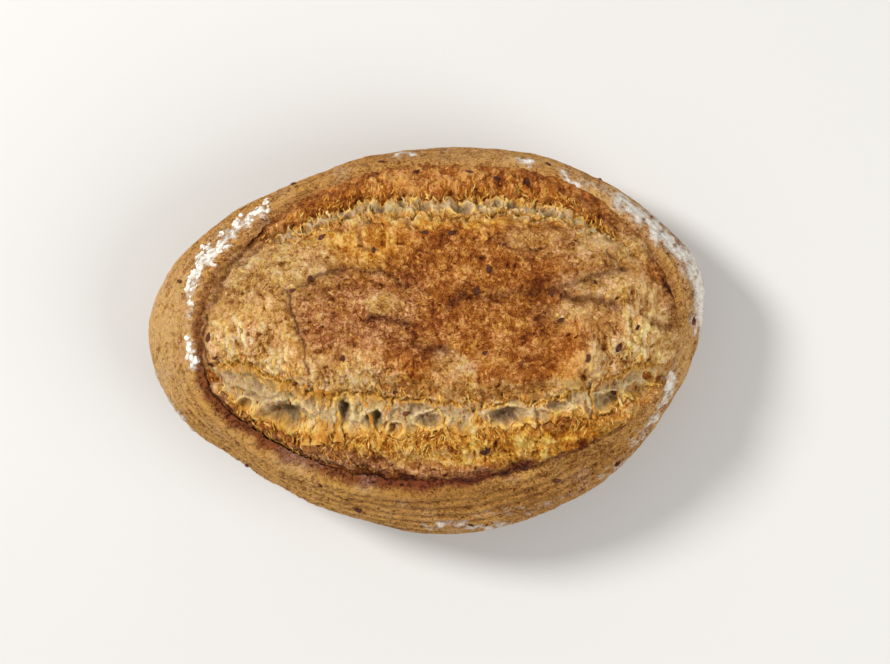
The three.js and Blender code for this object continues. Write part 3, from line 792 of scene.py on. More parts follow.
EDGE_CURL = 3.2  # how high the lip curls up
CURL_WIDTH = 7
CREST_PLACE = 4.5  # how far outside the tear the lip is highest
WALL_WIDTH = 2.6  # how far the torn slope runs up from the tear to the lip
OVERHANG = 0.4
EDGE_THICKNESS = 1.8
SIDE_POWER = 0.82  # under 1, the flank bulges out more than an ellipse
FOOT_SHARE = 0.81  # the base's reach, as a share of the outline's
TIP_LIFT = 0.07  # how much less that share is at the loaf's tips
SKIN_INSET = 0.65  # the bare skin lies this much inside the CAD model, and its grain fills that up
BASKET_STEP = 5.2  # between the marks of the proving basket's coils
SKIN_SEGMENTS = 1024
LIP_RINGS = 6
SKIN_RINGS = 38
SIDE_RINGS = 42
BASE_RINGS = 6
# The hidden inside: shares of the reach, and how deep each lies.
INSIDE = [(0, 14), (0.2, 14), (0.5, 12), (0.8, 8)]
SIDE_RUN = 40.0  # about how long the flank is, down to the base
ON_BASE = 90  # stands for the distance from the tear anywhere on the base


def skin_relief(points, outside, angle):
    x, y, z = np.moveaxis(points, -1, 0)
    crest = np.exp(-(((outside - CREST_PLACE) / CURL_WIDTH) ** 2))
    curl = EDGE_CURL * lip(angle) * (crest - np.exp(-((outside / WALL_WIDTH) ** 2)))
    lumps = 1.1 * noise(x / 26, y / 26, z / 26) + 0.35 * noise(x / 8, y / 8, z / 8)
    return curl + lumps * smoothstep(outside, 0, 8)


def skin_start(angle):
    """The reach of the skin's first ring: the lip's overhang, or its tuck under the bloom."""
    return torn_edge(angle) - OVERHANG * lip(angle) - TUCK_REACH * (1 - lip(angle))


def skin_point(angle, share):
    """A point between the torn edge, at share 0, and the widest line, at share 1."""
    edge, outer = torn_edge(angle), outline(angle)
    start = skin_start(angle) / outer
    reach = outer * (start + (1 - start) * np.sin(share * np.pi / 2))
    points = dome_point(angle, reach)
    outside = reach - edge
    tucked = TUCK_DEPTH * (1 - lip(angle)) * (1 - smoothstep(outside, -TUCK_REACH, TUCK_REACH))
    outside = np.maximum(outside, 0)
    return raised(points, skin_relief(points, outside, angle) - tucked), outside


def side_point(angle, share):
    """A point between the widest line, at share 0, and the base's edge, at share 1."""
    foot, outer = FOOT_SHARE - TIP_LIFT * np.cos(angle) ** 4, outline(angle)
    turn = share * np.pi / 2
    reach = outer * (foot + (1 - foot) * np.cos(turn) ** SIDE_POWER)
    height = widest_at(angle) * (1 - np.sin(turn) ** (1 / SIDE_POWER))
    points = polar(angle, reach, height)
    relief = skin_relief(points, outer - torn_edge(angle), angle) * (1 - smoothstep(share, 0.6, 0.95))
    points = raised(points, relief)
    points[..., 2] = np.maximum(points[..., 2], 0)
    return points


# Where flour caked on the skin, as paths in plan, each with its half width and its strength.
FLOUR_STROKES = [
    ([[-69, 57], [-81, 50], [-87, 43]], 2.6, 0.75), ([[-87, 43], [-95, 34], [-99, 24]], 2.6, 0.85),
    ([[-99, 24], [-100, 10]], 1.5, 0.6), ([[-100, 10], [-99, 0]], 1.3, 0.4),
    ([[-99, 0], [-98, -12]], 1.5, 0.9), ([[-121, -14], [-113, -28], [-102, -40]], 1.3, 0.7),
    ([[84, 61], [94, 54], [105, 46], [116, 36], [121, 22], [122, 9]], 5.6, 1.0),
    ([[118, 8], [120, 0]], 2.0, 0.7), ([[103, -10], [106, -16], [104, -22]], 3.4, 1.0),
    ([[106, -20], [102, -28], [97, -36]], 2.4, 0.9),
    ([[98, -34], [94, -42], [88, -48]], 1.6, 0.5),
    ([[0, -79], [30, -80], [50, -78]], 1.6, 0.75), ([[50, -78], [70, -70], [88, -52]], 1.4, 0.6),
    ([[20, -74], [45, -73], [70, -63]], 0.8, 0.5), ([[74, -60], [88, -47]], 0.9, 0.5),
    ([[-12, 81], [-4, 82]], 1.6, 1.0), ([[40, 78], [46, 77]], 1.5, 1.0), ([[60, 72], [66, 69]], 2, 1.0),
    ([[66, 71], [84, 60]], 2.0, 0.5),
]
# Where the skin is smooth tan, where it is reddish brown, and where it is roughest and speckled.
TAN_PATCHES = [(-112, 5, 16, 44, 1.0), (112, -8, 8, 14, 1.0), (30, 78, 36, 5, 0.7), (78, 63, 26, 7, 0.8)]
RUDDY_PATCHES = [(20, -66, 60, 9, 1.0), (75, -52, 30, 9, 0.8), (0, 80, 60, 5, 0.5)]
SPECKLED_PATCHES = [(-92, -34, 20, 26, 0.7), (-70, -52, 36, 18, 1.0), (-30, -68, 40, 12, 1.0)]


def make_skin():
    angle = ring_angles([SKIN_SEGMENTS])
    edge, strength = torn_edge(angle), lip(angle)
    foot = raised(dome_point(angle, edge + UNDERCUT * strength), -GROOVE_DEPTH * strength)
    top = skin_point(angle, 0.0)[0]
    out = polar(angle, 1.0, 0.0)
    thickness = EDGE_THICKNESS * np.maximum(strength, 0.2)
    rings, counts = [], []

    def ring(points, count=SKIN_SEGMENTS):
        rings.append(points)
        counts.append(count)

    # The hidden inside from the middle out, and the groove's wall.
    for part, depth in INSIDE:
        count = 1 if part == 0 else SKIN_SEGMENTS // 8
        angles = ring_angles([count])
        inner = dome_point(angles, part * torn_edge(angles))
        inner[:, 2] -= depth
        ring(inner, count)
    ring(np.minimum(foot, top) * [0.97, 0.97, 1] - [0, 0, 4])
    ring(foot + out * (0.4 * strength - 2.2 * (1 - strength))[:, None] - [0, 0, 2.2])
    # The lip's rounded nose, from its underside up.
    under = top + out * (0.35 * OVERHANG * strength)[:, None]
    under[:, 2] -= thickness
    for share in np.linspace(1, 0, LIP_RINGS + 1)[:-1]:
        nose = top + (under - top) * ((1 - np.cos(share * np.pi)) / 2)
        ring(nose - out * (0.15 * thickness * strength * np.sin(share * np.pi))[:, None])
    # The skin that shows, down to the base's edge, and the base.
    skin_first = sum(counts)
    outsides = []
    for share in np.arange(SKIN_RINGS + 1) / SKIN_RINGS:
        points, outside = skin_point(angle, share)
        ring(points)
        outsides.append(outside)
    for share in np.arange(1, SIDE_RINGS + 1) / SIDE_RINGS:
        ring(side_point(angle, share))
        outsides.append(outline(angle) - edge + share * SIDE_RUN)
    base_first = sum(counts)
    for step in range(1, BASE_RINGS):
        count = SKIN_SEGMENTS // 2**step
        inward = 1 - step / BASE_RINGS
        ring(side_point(ring_angles([count]), 1.0) * [inward, inward, 1], count)
    ring(np.zeros((1, 3)), 1)

    points = np.concatenate(rings)
    outside = np.zeros(len(points))
    outside[skin_first:base_first] = np.concatenate(outsides)
    outside[base_first:] = ON_BASE
    x, y, z = points.T
    round_angle = np.arctan2(y, x)
    shown = (outside > 0) * (outside < ON_BASE)
    # Flour: chips on the left rim and powder elsewhere.
    floury = strokes(FLOUR_STROKES, x, y, 3.4) * smoothstep(z, 18, 40)
    chip_x = x / 2.4 + 0.5 * noise(x / 1.4, y / 1.4, 5)
    chip_y = y / 2.0 + 0.5 * noise(x / 1.4, y / 1.4, 6)
    _, gap, number = cells(chip_x, chip_y)
    chips = (number < 0.85 * floury) * smoothstep(gap, 0.02, 0.2)
    left = smoothstep(-x, 30, 60)
    powder = smoothstep(floury + 1.1 * cloud(x / 2.8, y / 2.8, z / 2.8 + 5, 4), 0.4, 0.85) * floury
    flour = np.clip(np.maximum(chips * left, powder) * shown, 0, 1)
    dust = 0.3 * smoothstep(cloud(x / 12, y / 12, z / 12 + 9, 3), 0.1, 0.7) + 0.6 * floury
    # The basket's coils, counted along about the way down from the tear.
    run = 0.75 * (np.hypot(x, y) - torn_edge(round_angle) - z)
    coil = run / BASKET_STEP + 0.25 * noise(x / 30, y / 30, 3) + 0.15 * noise(x / 8, y / 8, z / 8)
    coil = np.abs(np.mod(coil, 1) - 0.5) * 2
    tan = patches(TAN_PATCHES, x, y, 4)
    coiled = smoothstep(outside, 3, 7) * smoothstep(z, 3, 9) * (1 - 0.7 * tan)
    # The skin's grain, with pits, with speckles and with wrinkles where it is tan.
    grain = 0.6 * cloud(x / 1.3, y / 1.3, z / 1.3, 2) + 0.6 * ridges(x / 4, y / 4, z / 4 + 3, 3)
    speckled = patches(SPECKLED_PATCHES, x, y, 4)
    near, _, number = cells(x / 2.2 + 0.05 * z, y / 2.2 + z / 2.2)
    pitted = (smoothstep(near, 0.08, 0.42) - 1) * (number < 0.4 + 0.5 * speckled)
    wrinkled = ridges(outside / 2.6 + 0.5 * noise(x / 5, y / 5, 12), round_angle * 9, 21, 3)
    grain = grain * (1 + 0.2 * speckled) + (0.5 + 0.7 * speckled) * pitted
    grain = grain + 0.8 * speckled + 0.7 * tan * wrinkled
    crags = lip(round_angle) * np.exp(-(((outside - 2.5) / 3) ** 2))
    crags = crags * ridges(x / 2.6, y / 2.6, z / 2.6 + 8, 3)
    fine = (0.28 + 0.14 * speckled) * grain + 1.3 * crags + (0.4 + 0.3 * grain) * flour
    fine = fine + coiled * 0.9 * (smoothstep(coil, 0.1, 0.5) - 1)
    fine = fine * shown * smoothstep(outside, 0.0, 2.5) * smoothstep(z, 0, 4)
    inset = SKIN_INSET * smoothstep(outside, 4, 12) * (outside < ON_BASE)
    points = raised(points, fine - inset)
    points[:, 2] = np.maximum(points[:, 2], 0)
    # The torn edge: dark on the lip's inner wall and along the tear, partly burnt crust and partly painted
    # shade in the groove, and browned just outside it.
    burnt_and_shaded_wall = (np.arange(len(points)) < skin_first) * lip(round_angle)
    ragged = outside + 1.6 * cloud(x / 3.5, y / 3.5, 44, 4)
    torn = 1 - smoothstep(ragged, 1.2, 2.2 + 1.6 * lip(round_angle))
    browned = charred_and_shaded(round_angle) * (1 - smoothstep(outside, 0.5, 2.6))
    masks = {
        "grain": grain,
        "flour": flour,
        "plates": chips * left * shown * smoothstep(z, 44, 54),
        "dust": dust,
        "coil": coiled * (1 - smoothstep(coil, 0.0, 0.35)),
        "tan": tan,
        "ruddy": np.maximum(patches(RUDDY_PATCHES, x, y, 4), browned),
        # Painted highlight: lighter along the lip's crest.
        "crest": np.exp(-(((outside - CREST_PLACE) / 1.3) ** 2)) * lip(round_angle) * shown,
        "burnt_and_shaded": np.clip(np.maximum(burnt_and_shaded_wall, torn * charred_and_shaded(round_angle)), 0, 1),
    }
    return make_piece("loaf_skin", points, ring_faces(counts), masks)


skin = make_skin()


def make_skin_material():
    material, tree, surface = new_material("floured skin")
    place = object_place(tree)
    fine = baked(tree, place, 1.2)
    # The tone follows the skin's grain: darker in its pits and hollows, partly the skin's own colour and
    # partly painted shade.
    tone = added(tree, 0.51, mask(tree, "grain"), 0.3)
    tone = added(tree, tone, fine["Tone"], 1.05)
    # Painted highlight: the tone rises along the lip's crest.
    tone = added(tree, tone, mask(tree, "crest"), 0.4)
    tone = added(tree, tone, patchy(tree, place, 110.0, 5.0), 0.6, 0.5)
    speckled = shades(tree, tone, (82, 31, 4), (142, 79, 20), (181, 114, 43), (236, 181, 102))
    tan = shades(tree, tone, (134, 72, 22), (203, 141, 71), (247, 200, 132))
    ruddy = shades(tree, tone, (78, 30, 6), (134, 74, 22), (164, 104, 40), (214, 156, 80))
    dark = shades(tree, tone, (26, 2, 1), (66, 15, 5), (150, 76, 40))
    white = shades(
        tree, fine["Height"], (140, 116, 86), (226, 214, 196), (250, 246, 238), places=(0.05, 0.2, 0.36))
    colour = blend(tree, mask(tree, "tan"), speckled, tan)
    colour = blend(tree, mask(tree, "ruddy"), colour, ruddy)
    colour = tinted(tree, colour, fine["Hue"], (1.05, 0.95, 1.05), (1, 1, 0.95), (1.04, 1.01, 0.7))
    # Partly burnt crust and partly painted shade: dark on the lip's inner wall and along the torn edge.
    colour = blend(tree, mask(tree, "burnt_and_shaded"), colour, dark)
    colour = blend(tree, maths(tree, "MULTIPLY", mask(tree, "coil"), 0.5), colour, dark)
    sparse = rescaled(tree, fine["Height"], 0.2, 0.4, 0.0, 0.8)
    colour = blend(tree, maths(tree, "MULTIPLY", mask(tree, "dust"), sparse), colour, white)
    colour = blend(tree, mask(tree, "flour"), colour, white)
    roughness = rescaled(tree, tone, 0.0, 1.0, 0.8, 0.65)
    smoother = rescaled(tree, mask(tree, "flour"), 0.0, 1.0, 1.0, 0.4)
    height = maths(tree, "MULTIPLY", fine["Height"], smoother)
    finish(tree, surface, colour, roughness, 0.15, height, 0.0021)
    return material


skin.data.materials.append(make_skin_material())
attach(skin, "root")
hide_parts("loaf")


# The crumb
# The soft inside of the bread, torn open along the two seams: cream-coloured foam with round
# bubbles, whose thin walls caught the heat and turned yellow and gold at their rims. Each seam's
# crumb is a closed piece that lies in the tear and dives under the crust all round.

CRUMB_STEP = 0.44
CRUMB_THICKNESS = 3
CRUMB_REACH = 1.6  # to the piece's border from the seam's middle, as a share of the crumb's width
CRUMB_MARGIN = 2.5  # and this much more
CRUMB_SUNK = 3.6  # how much deeper the crumb lies where the crust hides it
CRUMB_TUCK = 1.5  # how far its border bends down
BUBBLES = [(6.5, 0.6, 0.5), (3.1, 0.7, 0.5), (1.5, 0.8, 0.4)]  # size, share of places, strength
# Open pockets in the crumb: middle x, middle y, reach along x, reach along y, depth.
POCKETS = [
    (-60, -31.5, 11, 6.5, 4.6), (-76, -27, 4, 3, 1.8), (-34, -29, 3.4, 6.5, 3.8), (-21, -33, 5, 4, 3.0),
    (-12, -37, 3.4, 2.6, 2.4), (3, -33, 6, 3, 2.8), (35, -31, 9, 3.6, 4.0), (23, -33, 3, 2.2, 2.4),
    (56, -27, 5, 2.6, 3.0), (64, -29, 2.6, 2, 2.4), (79, -25, 8, 3.8, 2.4), (93, -22, 6, 4.5, 2.2),
    (98, -15, 3, 2.4, 1.6), (101, -9, 4, 5, 1.2),
    (-63, 44, 2.5, 2, 2), (-51, 48.5, 3, 2.5, 2.4), (-44, 50, 2.5, 2.5, 2), (-32, 51.5, 3, 4, 2.6),
    (-19, 57, 4, 4.5, 2.4), (-1, 57.5, 4.6, 4, 2.4), (16, 56.5, 4.6, 3.2, 2.2), (29, 60, 4, 3, 2.2),
    (39, 60, 3.4, 3.4, 2.2), (54, 56, 4, 3, 1.6), (76, 48.5, 2.4, 2, 2.2), (81, 46, 1.8, 1.6, 2),
]


def bubbles(x, y, size, share):
    """Round bubbles of one size, cut open: their depth in millimetres, and their rims."""
    near, _, number = cells(x / size, y / (1.25 * size))
    radius = 0.34 + 0.3 * number
    there = number < share
    rim = np.exp(-(((near - radius) / 0.07) ** 2))
    return size * np.sqrt(np.clip(radius**2 - near**2, 0, None)) * there, rim * there


def crumb_foam(x, y):
    """The foam's relief in millimetres, and how much of a thin wall or rim a point lies on."""
    warp_x = x + 1.3 * cloud(x / 3.2, y / 3.2, 11, 3)
    warp_y = y + 1.3 * cloud(x / 3.2, y / 3.2, 12, 3)
    hollow, rim = np.zeros(x.shape), np.zeros(x.shape)
    for size, share, strength in BUBBLES:
        bowl, edge = bubbles(warp_x + size, warp_y, size, share)
        hollow = np.maximum(hollow, strength * bowl)
        rim = np.maximum(rim, strength * edge)
    threads = ridges((warp_x + 0.3 * y) / 1.7, warp_y / 7, 13, 3)
    relief = 0.4 * rim - hollow + 0.45 * threads
    pocket, wall = np.zeros(x.shape), np.zeros(x.shape)
    for middle_x, middle_y, reach_x, reach_y, depth in POCKETS:
        share = np.hypot((warp_x - middle_x) / reach_x, (warp_y - middle_y) / reach_y)
        pocket = np.maximum(pocket, (1 - smoothstep(share, 0.25, 1.05)) * 0.9 * depth)
        wall = np.maximum(wall, np.exp(-(((share - 1.15) / 0.2) ** 2)))
    relief = relief - pocket + 0.8 * wall
    return relief, np.clip(np.maximum(rim, 1.6 * wall) + 0.3 * threads, 0, 1.6)


def crumb_places(seam, step):
    """A grid of places over a seam's crumb, and the share from its middle, 0, to its border, 1 or -1."""
    rows = np.arange(seam.start - 3, seam.end + 3, step)
    widest = max(seam.crumb_above(rows) + seam.crumb_below(rows)) * CRUMB_REACH + 2 * CRUMB_MARGIN
    x, v = np.meshgrid(rows, np.linspace(-1, 1, int(widest / step)), indexing="ij")
    return x, seam.middle(x) + v * (seam.crumb_width(x, v) * CRUMB_REACH + CRUMB_MARGIN), v


def crumb_points(seam, x, y):
    angle, reach = np.arctan2(y, x), np.hypot(x, y)
    inside = np.maximum(torn_edge(angle) - reach, 0)
    relief, rim = crumb_foam(x, y)
    shown = seam.crumb(x, y, 0.75)
    height = bloom_relief(x, y, inside, angle) - BLOOM_INSET + relief * shown - CRUMB_SUNK * (1 - shown)
    return raised(dome_point(angle, reach), height), relief, rim


def make_crumb(name, seam):
    x, y, v = crumb_places(seam, CRUMB_STEP)
    top, relief, rim = crumb_points(seam, x, y)
    top[..., 2] -= CRUMB_TUCK * smoothstep(np.abs(v), 0.88, 1)
    bottom = top - [0, 0, CRUMB_THICKNESS]
    upper = grid_faces(*x.shape)
    lower = upper[:, ::-1] + x.size
    index = np.arange(x.size).reshape(x.shape)
    border = np.concatenate([index[:-1, 0], index[-1, :-1], index[:0:-1, -1], index[0, :0:-1]])
    after = np.roll(border, -1)
    sides = np.stack([after, border, border + x.size, after + x.size], axis=-1)
    faces = np.concatenate([upper, lower, sides]).tolist()
    masks = {
        "rim": rim,
        # Painted shade, deeper in the bubbles and pockets.
        "depth_shade": np.clip(-relief / 3.2, 0, 1),
        "toast": 1 - seam.crumb(x, y, 0.0) ** 0.7,
    }
    masks = {key: np.concatenate([value.ravel(), np.zeros(value.size)]) for key, value in masks.items()}
    return make_piece(name, np.concatenate([top.reshape(-1, 3), bottom.reshape(-1, 3)]), faces, masks)


def make_crumb_material():
    material, tree, surface = new_material("torn crumb")
    place = object_place(tree)
    fine = baked(tree, place, 1.3, 0.9)
    tone = added(tree, 0.43, fine["Tone"], 0.16)
    # Painted highlight: the tone rises on the bubbles' rims and the pockets' walls.
    tone = added(tree, tone, mask(tree, "rim"), 0.22)
    cream = shades(tree, tone, (118, 90, 56), (180, 150, 104), (230, 212, 170))
    gold = shades(tree, tone, (138, 76, 16), (198, 140, 54), (242, 208, 122))
    shade = shades(tree, tone, (46, 28, 14), (94, 68, 42), (162, 136, 100))
    # Painted shade: the crumb darkens towards the shade colours with the depth of its bubbles and pockets.
    colour = blend(tree, maths(tree, "MULTIPLY", mask(tree, "depth_shade"), 0.75), cream, shade)
    golden = added(tree, added(tree, -0.5, mask(tree, "toast"), 1.9), mask(tree, "rim"), 0.42)
    colour = blend(tree, rescaled(tree, golden, 0.0, 1.0, 0.0, 1.0), colour, gold)
    # Painted shade: dark specks for pores too small for the mesh.
    pore = add(tree, "ShaderNodeTexVoronoi", {"Vector": place, "Scale": 640.0}).outputs
    chance = rescaled(tree, channels(tree, pore["Color"])[0], 0.5, 0.8, 0.0, 0.85)
    hole = rescaled(tree, pore["Distance"], 0.14, 0.34, 1.0, 0.0)
    colour = blend(tree, maths(tree, "MULTIPLY", chance, hole), colour, paint(84, 60, 40))
    colour = tinted(tree, colour, fine["Hue"], (1.04, 0.96, 1.12), (1, 1, 1), (1.0, 1.03, 0.8))
    finish(tree, surface, colour, 0.8, 0.12, fine["Height"], 0.0007)
    return material


crumb_material = make_crumb_material()
CRUMBS = {"crumb_lower": LOWER_SEAM, "crumb_upper": UPPER_SEAM}
for crumb_name, crumb_seam in CRUMBS.items():
    crumb = make_crumb(crumb_name, crumb_seam)
    crumb.data.materials.append(crumb_material)
    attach(crumb, "root")


# The torn fibres
# Gluten fibres that were drawn out as the seams tore open, and that baked golden and brittle.
# They lie on the crust and over the crumb along both seams, thickest at the seams' borders, each
# one a bent thread that follows the ground under it.

FIBRE_LENGTH = 4.4
FIBRE_THICKNESS = 0.5
FIBRE_WANDER = 2.4  # how far a fibre strays from a straight line
FIBRE_LIFT = 0.35  # how high it springs off the ground
FIBRES_PER_SQUARE_MILLIMETRE = 0.65
FIBRE_GROUND_STEP = 0.8
FIBRE_GROUND_WIDTH = 1.4  # how many times as wide as the crumb piece the fibres' ground is


def new_tree(name, *sizes):
    """A Geometry Nodes tree that makes pieces of one material on a mesh, from some sizes."""
    inputs = {"Geometry": "NodeSocketGeometry", **dict.fromkeys(sizes, "NodeSocketFloat")}
    inputs["Material"] = "NodeSocketMaterial"
    return new_group(name, inputs, {"Geometry": "NodeSocketGeometry"}, "GeometryNodeTree")


def attribute(tree, name, kind="FLOAT"):
    return add(tree, "GeometryNodeInputNamedAttribute", {"Name": name}, data_type=kind).outputs["Attribute"]


def random_number(tree, low, high, seed):
    ends = {2: low, 3: high, "Seed": seed}
    return add(tree, "FunctionNodeRandomValue", ends, data_type="FLOAT").outputs[1]


def scattered(tree, given, mask_name, seed):
    """Points strewn over the given mesh, as densely as its mask says."""
    density = maths(tree, "MULTIPLY", given["Density"], attribute(tree, mask_name))
    strewn = {"Mesh": given["Geometry"], "Density": density, "Seed": seed}
    return add(tree, "GeometryNodeDistributePointsOnFaces", strewn).outputs


def placed(tree, points, shape, rotation, scale):
    """A shape's copy at each point, as real geometry."""
    laid = add(tree, "GeometryNodeInstanceOnPoints", {
        "Points": points, "Instance": shape, "Rotation": rotation, "Scale": scale}).outputs[0]
    return add(tree, "GeometryNodeRealizeInstances", {"Geometry": laid}).outputs[0]


def finish_shapes(tree, geometry, material, result):
    """Every tree of this file ends here: real meshes, smooth, with their material."""
    real = add(tree, "GeometryNodeRealizeInstances", {"Geometry": geometry}).outputs[0]
    smooth = add(tree, "GeometryNodeSetShadeSmooth", {"Geometry": real}).outputs[0]
    done = add(tree, "GeometryNodeSetMaterial", {"Geometry": smooth, "Material": material}).outputs[0]
    tree.links.new(done, result["Geometry"])


def shaken(tree, geometry, scale, amount, seed):
    """The geometry with every point moved by a smooth noise, by up to about half the amount."""
    place = add(tree, "GeometryNodeInputPosition").outputs[0]
    wave = {"Vector": place, "W": seed, "Scale": scale, "Detail": 1.0}
    wave = add(tree, "ShaderNodeTexNoise", wave, noise_dimensions="4D").outputs["Color"]
    offset = scaled(tree, vectors(tree, "SUBTRACT", wave, (0.5, 0.5, 0.5)), amount)
    return add(tree, "GeometryNodeSetPosition", {"Geometry": geometry, "Offset": offset}).outputs[0]


def stored(tree, geometry, name, value):
    kept = {"Geometry": geometry, "Name": name, "Value": value}
    return add(tree, "GeometryNodeStoreNamedAttribute", kept).outputs[0]


def tubes(tree, curves, radius, sides):
    """Closed tubes along curves, with a radius that may change along them."""
    ring = add(tree, "GeometryNodeCurvePrimitiveCircle", {"Resolution": sides, "Radius": 1.0}).outputs[0]
    return add(tree, "GeometryNodeCurveToMesh", {
        "Curve": curves, "Profile Curve": ring, "Scale": radius, "Fill Caps": True}).outputs[0]


def make_fibre_tree():
    tree, given, result = new_tree("torn fibres", "Density", "Length", "Thickness", "Wander", "Lift")
    places = scattered(tree, given, "fringe", 4)["Points"]
    places = stored(tree, places, "tint", random_number(tree, 0.0, 1.0, 31))
    places = stored(tree, places, "spring", random_number(tree, -0.35, 1.0, 32))
    places = stored(tree, places, "body", random_number(tree, 0.45, 1.2, 33))
    line = {"Start": (-0.5, 0, 0), "End": (0.5, 0, 0)}
    line = add(tree, "GeometryNodeCurvePrimitiveLine", line).outputs[0]
    line = add(tree, "GeometryNodeResampleCurve", {"Curve": line, "Count": 8}).outputs[0]
    astray = {0: (-0.6, -0.3, 0.0), 1: (0.6, 0.3, 0.0), "Seed": 11}
    astray = add(tree, "FunctionNodeRandomValue", astray, data_type="FLOAT_VECTOR").outputs[0]
    way = vectors(tree, "ADD", attribute(tree, "way", "FLOAT_VECTOR"), astray)
    turn = add(tree, "FunctionNodeAlignRotationToVector", {"Vector": way}, axis="X").outputs[0]
    length = maths(tree, "MULTIPLY", given["Length"], random_number(tree, 0.3, 1.2, 21))
    curves = shaken(tree, placed(tree, places, line, turn, length), 260.0, given["Wander"], 3.0)
    curves = shaken(tree, curves, 900.0, maths(tree, "MULTIPLY", given["Wander"], 0.4), 8.0)

    # Each fibre is laid on the ground nearest to it, and arches up off it between its ends.
    share = add(tree, "GeometryNodeSplineParameter").outputs["Factor"]
    arch = maths(tree, "SINE", maths(tree, "MULTIPLY", share, 3.1416))
    spring = maths(tree, "MULTIPLY", attribute(tree, "spring"), given["Lift"])
    sunk = maths(tree, "MULTIPLY", given["Thickness"], -0.15)
    height = maths(tree, "MULTIPLY_ADD", arch, spring, sunk)
    facing = add(tree, "GeometryNodeInputNormal").outputs[0]
    surface = {"Mesh": given["Geometry"], "Value": facing}
    facing = add(tree, "GeometryNodeSampleNearestSurface", surface, data_type="FLOAT_VECTOR").outputs["Value"]
    ground = {"Geometry": given["Geometry"]}
    ground = add(tree, "GeometryNodeProximity", ground, target_element="FACES").outputs["Position"]
    above = vectors(tree, "ADD", ground, scaled(tree, facing, height))
    curves = add(tree, "GeometryNodeSetPosition", {"Geometry": curves, "Position": above}).outputs[0]
    tapered = added(tree, 0.25, maths(tree, "POWER", arch, 0.6), 0.75)
    thickness = maths(tree, "MULTIPLY", attribute(tree, "body"), tapered)
    radius = maths(tree, "MULTIPLY", maths(tree, "MULTIPLY", given["Thickness"], 0.5), thickness)
    finish_shapes(tree, tubes(tree, curves, radius, 4), given["Material"], result)
    return tree


def grown(name, source, tree, **sizes):
    """The plain mesh that a Geometry Nodes tree makes from a source object, which then goes."""
    modifier = source.modifiers.new(name, "NODES")
    modifier.node_group = tree
    for item in tree.interface.items_tree:
        if item.name in sizes:
            modifier[item.identifier] = sizes[item.name]
    evaluated = source.evaluated_get(bpy.context.evaluated_depsgraph_get())
    mesh = bpy.data.meshes.new_from_object(evaluated)
    bpy.data.objects.remove(source)
    mesh.name = name
    return link(bpy.data.objects.new(name, mesh))


def make_fibre_ground(seam):
    """The ground that the fibres lie on, with how many grow at each place and which way they run."""
    x, y, _ = crumb_places(seam, FIBRE_GROUND_STEP)
    y = seam.middle(x) + (y - seam.middle(x)) * FIBRE_GROUND_WIDTH
    crust = bloom_points(x, y)[0]
    foam, relief, _ = crumb_points(seam, x, y)
    crumb = seam.crumb(x, y)
    ground = np.where(crumb[..., None] > 0.5, foam, crust)
    way = np.gradient(dome_point(np.arctan2(y, x), np.hypot(x, y)), axis=1)
    way[..., 0] += (0.16 * np.abs(way[..., 1]) + 0.35) * noise(x / 6, y / 6, 77)
    way /= np.linalg.norm(way, axis=-1, keepdims=True)
    share = seam.crumb_share(x, y)
    fringe = np.exp(-(((share - 1.1) / 0.4) ** 2)) + 0.22 * (share < 1)
    fringe = fringe + 0.12 * np.exp(-(((share - 1.9) / 0.7) ** 2))
    fringe = fringe * seam.within(x) * smoothstep(noise(x / 4, y / 4, 78), -0.7, 0.5)
    solid = smoothstep(relief, -2.4, -0.8) * crumb  # no fibres hang over open pockets
    fringe = fringe * np.where(crumb > 0.5, solid, 1)
    masks = {"fringe": np.clip(fringe, 0, 1).ravel(), "way": way.reshape(-1, 3)}
    return make_piece("fibre ground", ground.reshape(-1, 3), grid_faces(*x.shape).tolist(), masks)


def make_fibre_material():
    material, tree, surface = new_material("golden fibre")
    drift = patchy(tree, object_place(tree), 350.0, 4.0, 0.7)
    drift = rescaled(tree, drift, 0.3, 0.7, -0.5, 0.5)
    share = added(tree, mask(tree, "tint"), drift, 0.5)
    colour = shades(
        tree, share, (146, 80, 20), (194, 124, 36), (218, 164, 60), (238, 204, 116),
        places=(0.0, 0.35, 0.7, 1.0))
    finish(tree, surface, colour, added(tree, 0.75, share, -0.2), 0.25)
    return material


fibre_tree = make_fibre_tree()
fibre_material = make_fibre_material()
for crumb_name, crumb_seam in CRUMBS.items():
    fibres = grown(
        crumb_name.replace("crumb", "fibres"),
        make_fibre_ground(crumb_seam),
        fibre_tree,
        Density=FIBRES_PER_SQUARE_MILLIMETRE / MILLIMETRE**2,
        Length=FIBRE_LENGTH * MILLIMETRE,
        Thickness=FIBRE_THICKNESS * MILLIMETRE,
        Wander=FIBRE_WANDER * MILLIMETRE,
        Lift=FIBRE_LIFT * MILLIMETRE,
        Material=fibre_material,
    )
    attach(fibres, "root")


# The strands
# Thicker ropes of dough that still bridge the seams, and the walls that were left standing
# between the bubbles. Each is a rough golden rope that runs from one border to the other and
# sags a little towards the crumb.

# Bridges over each seam: place along x, lean of the lower end along x, thickness.
LOWER_STRANDS = [
    (-51, -2, 3.4), (-45, -1, 4.4), (-42, -3, 4.8), (-37, 3, 3.2), (-22, 9, 2.4), (-15, -6, 1.8),
    (8, 6, 1.8), (21, -4, 3.6), (24, -6, 3.0), (28, -3, 1.6), (47, -4, 1.8), (62, 2, 1.4), (72, 3, 1.6),
    (85, -3, 1.4), (-70, -3, 1.4),
]
UPPER_STRANDS = [
    (-56, 2, 1.2), (-47.5, -1, 1.3), (-40, 3, 1.6), (-36, 4, 1.8), (-26, -2, 1.6), (-12, -4, 1.8),
    (-7, 3, 1.3), (6, 3, 1.6), (10, -3, 1.2), (22, 2, 1.5), (30, -4, 1.8), (34.5, 3, 1.2), (46, -3, 1.5),
    (60, 2, 1.2),
]
STRAND_REACH = 1.1  # where a strand ends, as a share of the way out to the crumb's border
STRAND_SUNK = 0.9  # about how deep its ends sit in the crust
STRAND_SAG = 0.16
STRAND_ROUGHNESS = 2.0
STRAND_POINTS = 16


